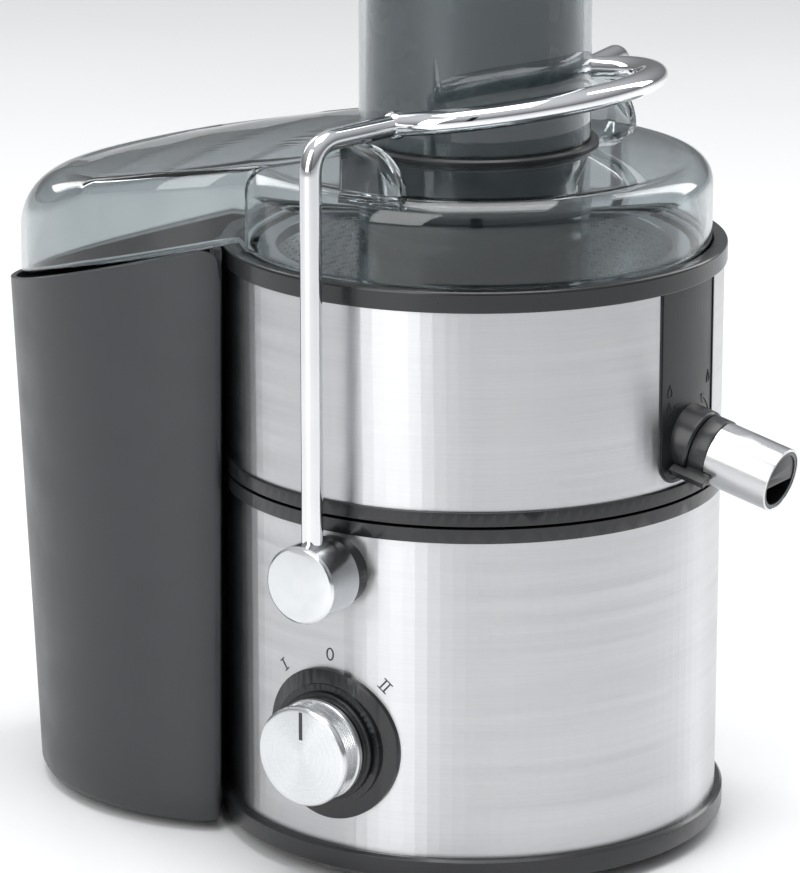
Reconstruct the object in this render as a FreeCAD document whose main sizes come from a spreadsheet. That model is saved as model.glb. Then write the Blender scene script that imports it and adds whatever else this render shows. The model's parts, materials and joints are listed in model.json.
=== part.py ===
import FreeCAD, Part
import math
import os

import Sketcher

# Centrifugal juicer: steel-clad motor base, juice bowl with a turning spout, spinning strainer basket,
# clear lid with feed chute and pulp cover, pusher, pulp container and a swinging locking arm.
# Millimetres. +Z is up, the origin is on the motor axis at table level, the front (knob) is -Y,
# the spout points along +X and the pulp container stands on the -X side.

V = FreeCAD.Vector
UP = V(0, 0, 1)
doc = FreeCAD.newDocument("juicer")
os.makedirs("parts", exist_ok=True)
dims = doc.addObject("Spreadsheet::Sheet", "dims")


# ---- sizes: every one is a cell of the sheet, and remembers its formula ----------------------------

class Size(float):
    """A length or angle with the spreadsheet formula that gives it."""

    def __new__(cls, value, formula):
        number = float.__new__(cls, value)
        number.formula = formula
        return number

    def __add__(self, other):
        return Size(float(self) + float(other), f"({self.formula} + {formula_of(other)})")

    def __sub__(self, other):
        return Size(float(self) - float(other), f"({self.formula} - {formula_of(other)})")

    def __mul__(self, other):
        return Size(float(self) * float(other), f"({self.formula} * {formula_of(other)})")

    def __truediv__(self, other):
        return Size(float(self) / float(other), f"({self.formula} / {formula_of(other)})")

    def __neg__(self):
        return Size(-float(self), f"(-1 * {self.formula})")


def formula_of(value):
    """The formula of a Size, or a plain number written out."""
    return value.formula if isinstance(value, Size) else f"({float(value):.6f})"


row = 0


def size(name, value):
    """Write one driving dimension into the sheet under its own name."""
    global row
    row += 1
    dims.set(f"A{row}", str(value))
    dims.setAlias(f"A{row}", name)
    return Size(value, f"dims.{name}")


# Overall body
body_radius = size("body_radius", 95.0)
steel = size("steel_thickness", 0.8)
wall = size("plastic_wall", 2.6)
underside = size("underside_height", 2.5)
ring_low = size("bottom_ring_low", 5.0)
ring_top = size("bottom_ring_top", 14.5)
base_top = size("base_cladding_top", 136.8)
rim_height = size("base_rim_height", 5.3)
seam = size("seam_gap", 1.0)
bowl_ring_height = size("bowl_ring_height", 5.5)
bowl_steel_top = size("bowl_cladding_top", 223.0)
bowl_top = size("bowl_rim_top", 231.0)
ring_proud = size("ring_proud", 1.2)
bottom_proud = size("bottom_ring_proud", 3.0)
gap = size("free_gap", 0.4)
running_fit = size("running_fit", 0.04)
foot_radius = size("foot_radius", 8.0)
foot_circle = size("foot_circle_radius", 80.0)

# Lid, chute and pusher
lid_radius = size("lid_radius", 90.2)
lid_shoulder = size("lid_shoulder_height", 261.5)
lid_crown = size("lid_crown_height", 266.8)
lid_round = size("lid_edge_round", 10.0)
chute_radius = size("chute_radius", 43.8)
chute_bottom = size("chute_bottom", 178.0)
chute_top = size("chute_top", 362.0)
pusher_play = size("pusher_play", 0.6)
cap_height = size("pusher_cap_height", 34.0)
fin_radius = size("fin_radius", 19.0)
fin_reach = size("fin_distance", 85.0)
fin_height = size("fin_height", 261.5)

# Pulp cover and pulp container
bin_x = size("bin_distance", 107.0)
bin_length = size("bin_half_length", 95.9)
bin_width = size("bin_half_width", 88.0)
bin_foot_radius = size("bin_foot_radius", 86.5)
bin_base = size("bin_bottom_height", 3.0)
bin_wall = size("bin_wall", 2.2)
rim_slope = size("rim_slope_angle", 14.5)
rim_at_body = size("rim_height_at_body", 224.1)
cover_length = size("cover_half_length", 89.6)
cover_width = size("cover_half_width", 83.5)
cover_end = size("cover_end_height", 243.0)

# Locking arm
arm_reach = size("arm_distance", 110.5)
rod_radius = size("rod_radius", 4.0)
pivot_height = size("pivot_height", 122.0)
arm_height = size("arm_height", 284.5)
arm_bend = size("arm_bend_radius", 11.0)
loop_start = size("loop_start_x", 8.5)
loop_rise = size("loop_start_rise", 0.7)
loop_half_width = size("loop_half_width", 68.0)
loop_depth = size("loop_depth", 56.0)
loop_slope = size("loop_slope_angle", 8.0)
band_height = size("band_height", 9.0)
band_width = size("band_width", 12.0)
cap_radius = size("pivot_cap_radius", 14.7)
cap_length = size("pivot_cap_length", 17.5)
pin_radius = size("pivot_pin_radius", 4.0)

# Knob
knob_x = size("knob_offset_x", -2.9)
knob_height = size("knob_height", 54.2)
knob_radius = size("knob_radius", 19.2)
knob_depth = size("knob_depth", 12.6)
collar_radius = size("knob_collar_radius", 19.6)
plate_radius = size("escutcheon_radius", 29.0)
plate_proud = size("escutcheon_proud", 2.0)
boss_radius = size("escutcheon_boss_radius", 23.4)
boss_proud = size("escutcheon_boss_proud", 2.6)
knob_face = size("knob_face_distance", 114.7)

# Spout
spout_height = size("spout_height", 164.0)
spout_tilt = size("spout_tilt_angle", 14.0)
panel_half = size("spout_panel_half_width", 19.7)
panel_corner = size("spout_panel_corner", 9.0)
panel_low = size("spout_panel_low", 150.0)
spout_length = size("spout_length", 40.0)
sleeve_radius = size("spout_sleeve_radius", 12.3)
spout_collar_radius = size("spout_collar_radius", 13.6)

# Motor
shaft_radius = size("shaft_radius", 4.0)
motor_radius = size("motor_radius", 40.0)
stack_low = size("stack_low", 62.0)
stack_height = size("stack_height", 40.0)
armature_radius = size("armature_radius", 23.7)
air_gap = size("motor_air_gap", 0.6)

# Bowl and basket
bowl_wall = size("bowl_wall", 3.2)
bowl_floor = size("bowl_floor_height", 153.0)
dam_radius = size("bowl_dam_radius", 21.5)
basket_low_radius = size("basket_low_radius", 58.0)
basket_rim_radius = size("basket_rim_radius", 83.0)
basket_drop = size("basket_drop", 6.8)
doc.recompute()

base_rim_top = base_top + rim_height
bowl_low = base_rim_top + seam
bowl_ring_top = bowl_low + bowl_ring_height
basket_top = bowl_top - basket_drop
inside = body_radius - steel
deck_top = base_top + 0.5
deck_low = deck_top - 3.0
stack_top = stack_low + stack_height


KNOB_TURN = (V(1, 0, 0), 90.0)
BACK_TURN = (V(1, 0, 0), -90.0)


# ---- building blocks -----------------------------------------------------------------------------

def bind(thing, target, value):
    """Tie one property to its formula when the value has one."""
    if isinstance(value, Size):
        thing.setExpression(target, value.formula)


def place(thing, x=0.0, y=0.0, z=0.0, axis=UP, angle=0.0):
    """Put a thing at x, y, z, turned by angle degrees about axis."""
    thing.Placement = FreeCAD.Placement(V(float(x), float(y), float(z)), FreeCAD.Rotation(axis, float(angle)))
    bind(thing, "Placement.Base.x", x)
    bind(thing, "Placement.Base.y", y)
    bind(thing, "Placement.Base.z", z)
    bind(thing, "Placement.Rotation.Angle", angle)
    return thing


def sketch_in(body, role, points):
    """A closed polygon in one of the body's own planes, every corner held by two dimensions."""
    sketch = body.newObject("Sketcher::SketchObject", body.Name + "_profile")
    plane = [feature for feature in body.Origin.OriginFeatures if feature.Role == role][0]
    sketch.AttachmentSupport = [(plane, "")]
    sketch.MapMode = "FlatFace"
    count = len(points)
    for index in range(count):
        start, end = points[index], points[(index + 1) % count]
        ends = [V(float(corner[0]), float(corner[1]), 0) for corner in (start, end)]
        sketch.addGeometry(Part.LineSegment(*ends))
    for index in range(count):
        sketch.addConstraint(Sketcher.Constraint("Coincident", index, 2, (index + 1) % count, 1))
    for index, corner in enumerate(points):
        for kind, value in zip(("DistanceX", "DistanceY"), corner):
            held = sketch.addConstraint(Sketcher.Constraint(kind, -1, 1, index, 1, float(value)))
            sketch.renameConstraint(held, f"{kind}_{index}")
            bind(sketch, f"Constraints.{kind}_{index}", value)
    return sketch


def turned(label, points):
    """A body turned about its own Z axis from (radius, height) corners."""
    body = doc.addObject("PartDesign::Body", label)
    sketch = sketch_in(body, "XZ_Plane", points)
    revolution = body.newObject("PartDesign::Revolution", label + "_turned")
    revolution.Profile = sketch
    revolution.ReferenceAxis = (sketch, ["V_Axis"])
    revolution.Angle = 360
    sketch.Visibility = False
    doc.recompute()
    return body


def box(label, length, width, height, x, y, z):
    """A plain block with its low corner at x, y, z."""
    block = doc.addObject("Part::Box", label)
    for name, value in zip(("Length", "Width", "Height"), (length, width, height)):
        setattr(block, name, float(value))
        bind(block, name, value)
    return place(block, x, y, z)


def cylinder(label, radius, height, x=0.0, y=0.0, z=0.0, axis=UP, angle=0.0):
    """A cylinder standing on x, y, z and then turned about axis."""
    bar = doc.addObject("Part::Cylinder", label)
    bar.Radius = float(radius)
    bar.Height = float(height)
    bind(bar, "Radius", radius)
    bind(bar, "Height", height)
    return place(bar, x, y, z, axis, angle)


def front_bar(label, radius, start, end, x, z):
    """A cylinder that runs to the front (-Y) between two distances from the Z axis."""
    return cylinder(label, radius, end - start, x, -start, z, *KNOB_TURN)


def cone(label, low_radius, high_radius, height, z):
    """A cone or drum round the Z axis."""
    drum = doc.addObject("Part::Cone", label)
    for name, value in zip(("Radius1", "Radius2", "Height"), (low_radius, high_radius, height)):
        setattr(drum, name, float(value))
        bind(drum, name, value)
    return place(drum, 0.0, 0.0, z)


def cut(label, base, *tools):
    """The base with every tool taken away."""
    result = base
    for index, tool in enumerate(tools):
        step = doc.addObject("Part::Cut", label if index == len(tools) - 1 else f"{label}_step")
        step.Base = result
        step.Tool = tool
        result = step
    doc.recompute()
    return result


def fuse(label, *parts):
    """Several pieces moulded or formed as one."""
    joined = doc.addObject("Part::MultiFuse", label)
    joined.Shapes = list(parts)
    doc.recompute()
    return joined


def common(label, first, second):
    """What two solids share."""
    shared = doc.addObject("Part::Common", label)
    shared.Base = first
    shared.Tool = second
    doc.recompute()
    return shared


def made(label, shape):
    """A feature whose shape is worked out in code, for sweeps and repeated copies."""
    feature = doc.addObject("Part::Feature", label)
    feature.Shape = shape
    return feature


def copies_round(label, source, count, first_angle=0.0):
    """Equal copies of one piece or tool, spread evenly round the Z axis as separate solids."""
    doc.recompute()
    shapes = []
    for index in range(count):
        copy = source.Shape.copy()
        copy.rotate(V(0, 0, 0), UP, first_angle + 360.0 * index / count)
        shapes.append(copy)
    return made(label, Part.makeCompound(shapes))


def ring(inner, outer, low, high):
    """Corners of a plain ring's profile."""
    return [(inner, low), (outer, low), (outer, high), (inner, high)]


nodes = {}


def node(name, feature):
    """Keep this feature as one piece of the juicer."""
    feature.Label = name
    nodes[name] = feature
    return feature


# ---- motor base ------------------------------------------------------------------------------------

KNOB_SHAFT_RADIUS = 3.0
SHAFT_HOLE_RADIUS = 6.0
INLET_RADIUS = 6.5
INLET_HEIGHT = 30.0
POST_COUNT = 4
POST_RADIUS = 4.5
POST_START = 22.5
SCREW_HEAD_RADIUS = 3.2
SCREW_RECESS = 1.8
post_circle = inside - 7.0
screw_radius = 1.6


def build_base_housing():
    """Plastic shell behind the steel, with its rim, deck, motor opening and screw posts."""
    shell_in = inside - wall
    rim_out = body_radius + ring_proud
    hub = 17.0
    shell = turned("housing_shell", [
        (shell_in, ring_top), (inside, ring_top), (inside, base_top), (rim_out, base_top),
        (rim_out, base_rim_top), (shell_in + 1.0, base_rim_top), (shell_in + 1.0, deck_top),
        (hub, deck_top), (hub, deck_top + 6.0), (hub - 3.0, deck_top + 6.0), (hub - 3.0, deck_low),
        (shell_in, deck_low)])
    post = cylinder("housing_post", POST_RADIUS, 26.0, post_circle, 0.0, ring_top)
    pilot = cylinder("housing_pilot", screw_radius, 20.0, post_circle, 0.0, ring_top)
    posts = copies_round("housing_posts", cut("housing_hollow_post", post, pilot), POST_COUNT, POST_START)
    shaft_hole = front_bar("housing_shaft_hole", SHAFT_HOLE_RADIUS, 70.0, 110.0, knob_x, knob_height)
    front_pin = front_bar("housing_front_pin_hole", pin_radius, 70.0, 110.0, 0.0, pivot_height)
    rear_pin = cylinder("housing_rear_pin_hole", pin_radius, 40.0, 0.0, 70.0, pivot_height, *BACK_TURN)
    inlet = cylinder("housing_inlet_hole", INLET_RADIUS, 40.0, 0.0, 70.0, INLET_HEIGHT, *BACK_TURN)
    grommet = cylinder("housing_grommet_hole", 3.0, 20.0, GROMMET_CIRCLE, 0.0, deck_low - 5.0)
    grommets = copies_round("housing_grommet_holes", grommet, 4, 45.0)
    return cut("base_housing", fuse("housing_with_posts", shell, posts), shaft_hole, front_pin, rear_pin,
               inlet, grommets)


def build_base_cladding():
    """Brushed steel band round the motor base."""
    band = turned("cladding_band", ring(inside, body_radius, ring_top, base_top))
    shaft_hole = front_bar("cladding_shaft_hole", SHAFT_HOLE_RADIUS, 70.0, 110.0, knob_x, knob_height)
    front_pin = front_bar("cladding_front_pin_hole", pin_radius, 70.0, 110.0, 0.0, pivot_height)
    rear_pin = cylinder("cladding_rear_pin_hole", pin_radius, 40.0, 0.0, 70.0, pivot_height, *BACK_TURN)
    inlet = cylinder("cladding_inlet_hole", INLET_RADIUS, 40.0, 0.0, 70.0, INLET_HEIGHT, *BACK_TURN)
    return cut("base_cladding", band, shaft_hole, front_pin, rear_pin, inlet)


def build_bottom_cover():
    """Black pan that closes the base from below and shows as the bottom ring."""
    outer = body_radius + bottom_proud
    pan = turned("cover_pan", [
        (0.0, underside), (outer - 7.0, underside), (outer - 2.0, ring_low), (outer, ring_low + 1.5),
        (outer, ring_top - 1.0), (outer - 1.0, ring_top), (inside - wall, ring_top),
        (inside - wall, underside + wall), (0.0, underside + wall)])
    slot = box("cover_slot", 26.0, 3.0, 10.0, 34.0, -1.5, 0.0)
    slots = copies_round("cover_slots", slot, 16)
    hole = cylinder("cover_screw_hole", screw_radius + 0.3, 20.0, post_circle, 0.0, 0.0)
    holes = copies_round("cover_screw_holes", hole, POST_COUNT, POST_START)
    recess_radius = SCREW_HEAD_RADIUS + 0.4
    recess = cylinder("cover_screw_recess", recess_radius, SCREW_RECESS, post_circle, 0.0, underside)
    recesses = copies_round("cover_screw_recesses", recess, POST_COUNT, POST_START)
    seat = cylinder("cover_foot_seat", foot_radius, 1.4, foot_circle, 0.0, underside)
    seats = copies_round("cover_foot_seats", seat, 4, 45.0)
    floor = underside + wall
    spacer = cylinder("cover_spacer", POST_RADIUS, ring_top - floor, post_circle, 0.0, floor)
    spacers = copies_round("cover_spacers", spacer, POST_COUNT, POST_START)
    return cut("bottom_cover", fuse("cover_with_spacers", pan, spacers), slots, holes, recesses, seats)


def build_rubber_feet():
    """Four soft feet pressed into the cover."""
    foot = turned("foot", [
        (0.0, 0.0), (foot_radius - 1.5, 0.0), (foot_radius, 1.0), (foot_radius, underside + 1.4),
        (0.0, underside + 1.4)])
    place(foot, foot_circle)
    return copies_round("rubber_feet", foot, 4, 45.0)


def build_cover_screws():
    """Screws that hold the bottom cover to the posts, their heads sunk below its face."""
    screw = turned("screw", [
        (0.0, underside + 0.2), (SCREW_HEAD_RADIUS, underside + 0.2),
        (SCREW_HEAD_RADIUS, underside + SCREW_RECESS), (screw_radius, underside + SCREW_RECESS),
        (screw_radius, ring_top + 14.0), (0.0, ring_top + 15.5)])
    place(screw, post_circle)
    return copies_round("cover_screws", screw, POST_COUNT, POST_START)


def build_cord_inlet():
    """Bushing in the back of the base where the mains cord enters."""
    bush = turned("inlet_bush", [
        (3.4, 0.0), (INLET_RADIUS, 0.0), (INLET_RADIUS, inside - 87.0), (9.5, inside - 87.0 + 0.8),
        (9.5, inside - 87.0 + 3.5), (6.0, inside - 87.0 + 9.0), (3.4, inside - 87.0 + 9.0)])
    return place(bush, 0.0, 88.0, INLET_HEIGHT, *BACK_TURN)


def build_escutcheon():
    """Dark plate behind the knob, bent to the round of the steel, with a flat boss for the collar."""
    disc = front_bar("escutcheon_disc", plate_radius, 60.0, 120.0, knob_x, knob_height)
    skin = turned("escutcheon_skin", ring(body_radius, body_radius + plate_proud, 10.0, 100.0))
    boss = front_bar("escutcheon_boss_bar", boss_radius, 70.0, body_radius + boss_proud, knob_x, knob_height)
    drum = cylinder("escutcheon_drum", body_radius, 120.0, 0.0, 0.0, 0.0)
    plate = common("escutcheon_plate", skin, disc)
    solid = fuse("escutcheon_solid", plate, cut("escutcheon_boss", boss, drum))
    hole = front_bar("escutcheon_hole", SHAFT_HOLE_RADIUS, 60.0, 120.0, knob_x, knob_height)
    return cut("knob_escutcheon", solid, hole)


def build_knob_cap():
    """Aluminium knob: spun face, knurled side between two polished bands, pointer groove."""
    back = knob_face - knob_depth
    cap = turned("knob_body", [
        (0.0, back + 1.0), (knob_radius - 3.0, back + 1.0), (knob_radius - 3.0, back), (knob_radius, back),
        (knob_radius, back + 2.4), (knob_radius - 0.5, back + 2.7), (knob_radius - 0.5, knob_face - 2.9),
        (knob_radius, knob_face - 2.6), (knob_radius, knob_face - 0.8), (knob_radius - 0.8, knob_face),
        (0.0, knob_face)])
    place(cap, knob_x, 0.0, knob_height, *KNOB_TURN)
    pointer = box("knob_pointer", 1.6, 4.0, 14.0, knob_x - 0.8, -knob_face - 3.4, knob_height + 7.4)
    bore = front_bar("knob_bore", KNOB_SHAFT_RADIUS, back + 1.0, knob_face - 3.6, knob_x, knob_height)
    return cut("knob_cap", cap, pointer, bore)


def build_knob_collar():
    """Dark stepped collar behind the aluminium knob."""
    back = knob_face - knob_depth
    start = body_radius + boss_proud + 0.8
    collar = turned("collar_body", [
        (3.0, start), (collar_radius + 1.2, start), (collar_radius + 1.2, start + 1.5),
        (collar_radius - 0.8, start + 1.5), (collar_radius - 0.8, back - 1.6),
        (knob_radius - 3.0, back - 1.6), (knob_radius - 3.0, back + 1.0), (3.0, back + 1.0)])
    return place(collar, knob_x, 0.0, knob_height, *KNOB_TURN)


def build_knob_shaft():
    """Plastic shaft from the knob into the rotary switch."""
    return front_bar("knob_shaft", KNOB_SHAFT_RADIUS, knob_face - 40.0, knob_face - 6.0, knob_x, knob_height)


def build_selector_switch():
    """Rotary switch behind the cladding, bored for the knob's shaft."""
    block = box("switch_block", 30.0, 14.0, 34.0, knob_x - 15.0, -89.5, knob_height - 17.0)
    bore = front_bar("switch_bore", running_fit + KNOB_SHAFT_RADIUS, 72.0, 102.0, knob_x, knob_height)
    bush = front_bar("switch_bush", SHAFT_HOLE_RADIUS, 89.5, 94.0, knob_x, knob_height)
    return cut("selector_switch", fuse("switch_solid", block, bush), bore)


def build_pivot_pins():
    """Steel stub axles that carry the locking arm, front and back."""
    pin = turned("pivot_pin", [
        (0.0, 82.0), (7.0, 82.0), (7.0, 84.5), (pin_radius, 84.5), (pin_radius, body_radius + 20.0),
        (0.0, body_radius + 20.0)])
    place(pin, 0.0, 0.0, pivot_height, *KNOB_TURN)
    return copies_round("pivot_pins", pin, 2)


def build_pivot_bushes():
    """Black bushings between the steel band and the arm's end caps."""
    reach = arm_reach - cap_length / 2.0 - gap
    bush = turned("pivot_bush", [
        (pin_radius, 70.0), (cap_radius - 1.4, 70.0), (cap_radius - 1.4, reach), (pin_radius, reach)])
    place(bush, 0.0, 0.0, pivot_height, *KNOB_TURN)
    drum = cylinder("bush_drum", body_radius, 200.0, 0.0, 0.0, 0.0)
    return copies_round("pivot_bushes", cut("pivot_bush_cut", bush, drum), 2)


def build_circuit_board():
    """Control board with its capacitor and relay, standing on the shell's back wall side."""
    board = box("board_sheet", 1.6, 50.0, 60.0, 60.0, -25.0, 40.0)
    capacitor = cylinder("board_capacitor", 6.0, 12.0, 48.0, 8.0, 60.0, V(0, 1, 0), 90.0)
    relay = box("board_relay", 12.0, 18.0, 16.0, 48.0, -18.0, 72.0)
    return fuse("control_board", board, capacitor, relay)


def build_interlock_switch():
    """Microswitch beside the front pivot that stops the motor when the arm is open."""
    body = box("interlock_body", 20.0, 6.5, 10.0, 8.5, -80.0, pivot_height - 5.0)
    lever = box("interlock_lever", 1.0, 4.0, 12.0, 7.5, -79.0, pivot_height - 5.0)
    return fuse("interlock_switch", body, lever)


# ---- motor -----------------------------------------------------------------------------------------

BEARING_RADIUS = 11.0
BEARING_HEIGHT = 7.0
GROMMET_CIRCLE = 44.0
BRUSH_RISE = 10.5
BRUSH_WIDTH = 7.0
BRUSH_DEPTH = 6.5
bracket_radius = motor_radius + 9.0
upper_bracket_top = deck_low - 5.0
upper_bearing_low = upper_bracket_top - 12.0
lower_bearing_low = stack_low - 31.0


def sector(inner, outer, low, high, start, sweep):
    """A ring sector between two heights, from start through sweep degrees."""
    full = Part.makeCylinder(float(outer), float(high - low), V(0, 0, float(low)), UP, sweep)
    full = full.cut(Part.makeCylinder(float(inner), float(high - low), V(0, 0, float(low))))
    full.rotate(V(0, 0, 0), UP, start)
    return full


def build_motor_stator():
    """Laminated stator ring with two pole pieces."""
    yoke = motor_radius - 6.0
    ring_shape = sector(yoke, motor_radius, stack_low, stack_top, 0.0, 360.0)
    bore = armature_radius + air_gap
    poles = [sector(bore, yoke, stack_low, stack_top, start, 90.0) for start in (-45.0, 135.0)]
    return made("motor_stator", ring_shape.fuse(poles).removeSplitter())


def build_stator_coils():
    """Two field coils, one round each pole piece."""
    inner = armature_radius + air_gap + 1.5
    outer = motor_radius - 6.4
    coils = []
    for start in (-85.0, 95.0):
        coil = sector(inner, outer, stack_low - 7.0, stack_top + 7.0, start, 170.0)
        pole_space = sector(inner - 2.0, outer + 2.0, stack_low - 0.5, stack_top + 0.5, start + 39.5, 91.0)
        coils.append(coil.cut(pole_space))
    return made("stator_coils", Part.makeCompound(coils))


def bracket(label, low, bearing_low):
    """A round motor bracket with a cup for its bearing and four bolt holes."""
    plate = cylinder(label + "_plate", bracket_radius, 3.0, 0.0, 0.0, low)
    cup = cylinder(label + "_cup", BEARING_RADIUS + 2.5, BEARING_HEIGHT + 5.0, 0.0, 0.0, bearing_low - 2.0)
    seat = cylinder(label + "_seat", BEARING_RADIUS, BEARING_HEIGHT, 0.0, 0.0, bearing_low)
    shaft_hole = cylinder(label + "_hole", shaft_radius + 1.5, 60.0, 0.0, 0.0, bearing_low - 25.0)
    bolt_hole = cylinder(label + "_bolt_hole", 2.0, 20.0, motor_radius + 4.0, 0.0, low - 8.0)
    bolt_holes = copies_round(label + "_bolt_holes", bolt_hole, 4)
    solid = fuse(label + "_solid", plate, cup)
    return solid, (seat, shaft_hole, bolt_holes)


def build_upper_bracket():
    """Die-cast bracket over the motor, hung from the deck."""
    solid, tools = bracket("upper_plate", upper_bracket_top - 3.0, upper_bearing_low)
    stud_hole = cylinder("upper_stud_hole", 1.8, 12.0, GROMMET_CIRCLE, 0.0, upper_bracket_top - 8.0)
    return cut("upper_bracket", solid, *tools, copies_round("upper_stud_holes", stud_hole, 4, 45.0))


def build_lower_bracket():
    """Die-cast bracket under the motor, cut away for the brush holders."""
    solid, tools = bracket("lower_plate", lower_bearing_low + 2.0, lower_bearing_low)
    return cut("lower_bracket", solid, *tools)


def bearing(label, low):
    """Ball bearing drawn as its outer envelope, bored to run on the shaft."""
    return turned(label, ring(shaft_radius + running_fit, BEARING_RADIUS, low, low + BEARING_HEIGHT))


def build_motor_bolts():
    """Through bolts that clamp both brackets over the stator."""
    low = lower_bearing_low + 2.0
    bolt = turned("motor_bolt", [
        (0.0, low - 3.0), (3.5, low - 3.0), (3.5, low), (2.0, low), (2.0, upper_bracket_top),
        (0.0, upper_bracket_top)])
    place(bolt, motor_radius + 4.0)
    return copies_round("motor_bolts", bolt, 4)


def build_motor_spacers():
    """Sleeves on the bolts that keep the brackets clear of the laminations."""
    low = lower_bearing_low + 5.0
    spacer = turned("motor_spacer", ring(2.0, 3.4, low, upper_bracket_top - 3.0))
    place(spacer, motor_radius + 4.0)
    return copies_round("motor_spacers", spacer, 4)


def build_motor_grommets():
    """Rubber mounts between the upper bracket and the deck."""
    grommet = turned("grommet", [
        (1.8, upper_bracket_top), (5.5, upper_bracket_top), (5.5, deck_low), (3.0, deck_low), (3.0, deck_top),
        (5.0, deck_top), (5.0, deck_top + 1.2), (1.8, deck_top + 1.2)])
    place(grommet, GROMMET_CIRCLE)
    return copies_round("motor_grommets", grommet, 4, 45.0)


def build_motor_studs():
    """Screws through the rubber mounts that hang the motor from the deck."""
    stud = turned("stud", [
        (0.0, upper_bracket_top - 5.0), (1.8, upper_bracket_top - 5.0), (1.8, deck_top + 1.2),
        (3.4, deck_top + 1.2), (3.4, deck_top + 3.2), (0.0, deck_top + 3.2)])
    place(stud, GROMMET_CIRCLE)
    return copies_round("motor_studs", stud, 4, 45.0)


def build_brush_holders():
    """Brass-lined holders on the lower bracket, open towards the commutator."""
    plate_top = lower_bearing_low + 5.0
    block = box("holder_block", 12.0, 14.0, 15.0, -6.0, 14.0, plate_top)
    channel = box("holder_channel", BRUSH_WIDTH, 16.0, BRUSH_DEPTH, -BRUSH_WIDTH / 2.0, 13.0,
                  lower_bearing_low + BRUSH_RISE)
    return copies_round("brush_holders", cut("holder_cut", block, channel), 2)


def build_carbon_brushes():
    """Carbon blocks bearing on the commutator."""
    brush = box("brush_block", BRUSH_WIDTH, 12.0, BRUSH_DEPTH, -BRUSH_WIDTH / 2.0, COMMUTATOR_RADIUS + 0.4,
                lower_bearing_low + BRUSH_RISE)
    return copies_round("carbon_brushes", brush, 2)


COMMUTATOR_RADIUS = 11.5
coupling_low = deck_top + 7.0


def build_shaft_seal():
    """Rubber lip seal in the deck's hub."""
    return turned("shaft_seal", [
        (shaft_radius + 0.3, deck_low), (14.0, deck_low), (14.0, deck_low + 4.0), (7.0, deck_low + 4.0),
        (7.0, deck_top + 4.5), (shaft_radius + 0.3, deck_top + 4.5)])


def build_motor_shaft():
    """Hardened shaft from the fan up into the coupling."""
    return cylinder("motor_shaft", shaft_radius, coupling_low + 12.0 - 14.0, 0.0, 0.0, 14.0)


def build_armature_core():
    """Laminated core on the shaft."""
    core = turned("armature_disc", ring(shaft_radius, armature_radius, stack_low, stack_top))
    slot = box("armature_slot", 6.0, 1.6, stack_height, armature_radius - 5.0, -0.8, stack_low)
    return cut("armature_core", core, copies_round("armature_slots", slot, 12))


def build_armature_windings():
    """Copper end turns above and below the core."""
    windings = [sector(shaft_radius, armature_radius - 3.0, low, high, 0.0, 360.0)
                for low, high in ((stack_low - 7.0, stack_low), (stack_top, stack_top + 7.0))]
    return made("armature_windings", Part.makeCompound(windings))


def build_commutator():
    """Copper commutator with its segment slots."""
    low = lower_bearing_low + BEARING_HEIGHT + 4.0
    drum = turned("commutator_drum", ring(shaft_radius, COMMUTATOR_RADIUS, low, stack_low - 8.0))
    slot = box("commutator_slot", 2.0, 0.5, 30.0, COMMUTATOR_RADIUS - 1.0, -0.25, low)
    return cut("commutator", drum, copies_round("commutator_slots", slot, 24))


def build_cooling_fan():
    """Moulded fan on the shaft's lower end."""
    hub = turned("fan_hub", [
        (shaft_radius, 15.0), (8.0, 15.0), (8.0, 22.5), (34.0, 22.5), (34.0, 24.0), (shaft_radius, 24.0)])
    blade = box("fan_blade", 24.0, 1.6, 7.6, 9.0, -0.8, 15.0)
    blades = copies_round("fan_blades", blade, 10)
    return fuse("cooling_fan", hub, blades)


def build_drive_coupling():
    """Toothed drive coupling screwed on the shaft, under the basket."""
    skirt = turned("coupling_skirt", [
        (shaft_radius, coupling_low), (15.0, coupling_low), (15.0, coupling_low + 9.0),
        (8.5, coupling_low + 11.0), (8.5, coupling_low + 12.0), (shaft_radius, coupling_low + 12.0)])
    head = doc.addObject("Part::Prism", "coupling_head")
    head.Polygon = 6
    head.Circumradius = 9.5
    head.Height = 12.0
    place(head, 0.0, 0.0, coupling_low + 12.0)
    return fuse("drive_coupling", skirt, head)


# ---- juice bowl and spout ----------------------------------------------------------------------------

bowl_out = body_radius - steel
bowl_in = bowl_out - bowl_wall
tilt = math.radians(spout_tilt)
spout_axis = V(math.cos(tilt), 0, -math.sin(tilt))
SPOUT_TURN = (V(0, 1, 0), spout_tilt + 90.0)


def on_spout(feature):
    """Lay a piece built round its own Z axis along the spout's tilted axis."""
    return place(feature, body_radius, 0.0, spout_height, *SPOUT_TURN)


def spout_bore(label, radius, reach=16.0):
    """A tool that clears the spout's tilted path through the wall."""
    bore = cylinder(label, radius, 2.0 * reach)
    x = float(body_radius) - reach * spout_axis.x
    z = float(spout_height) - reach * spout_axis.z
    return place(bore, x, 0.0, z, *SPOUT_TURN)


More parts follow.
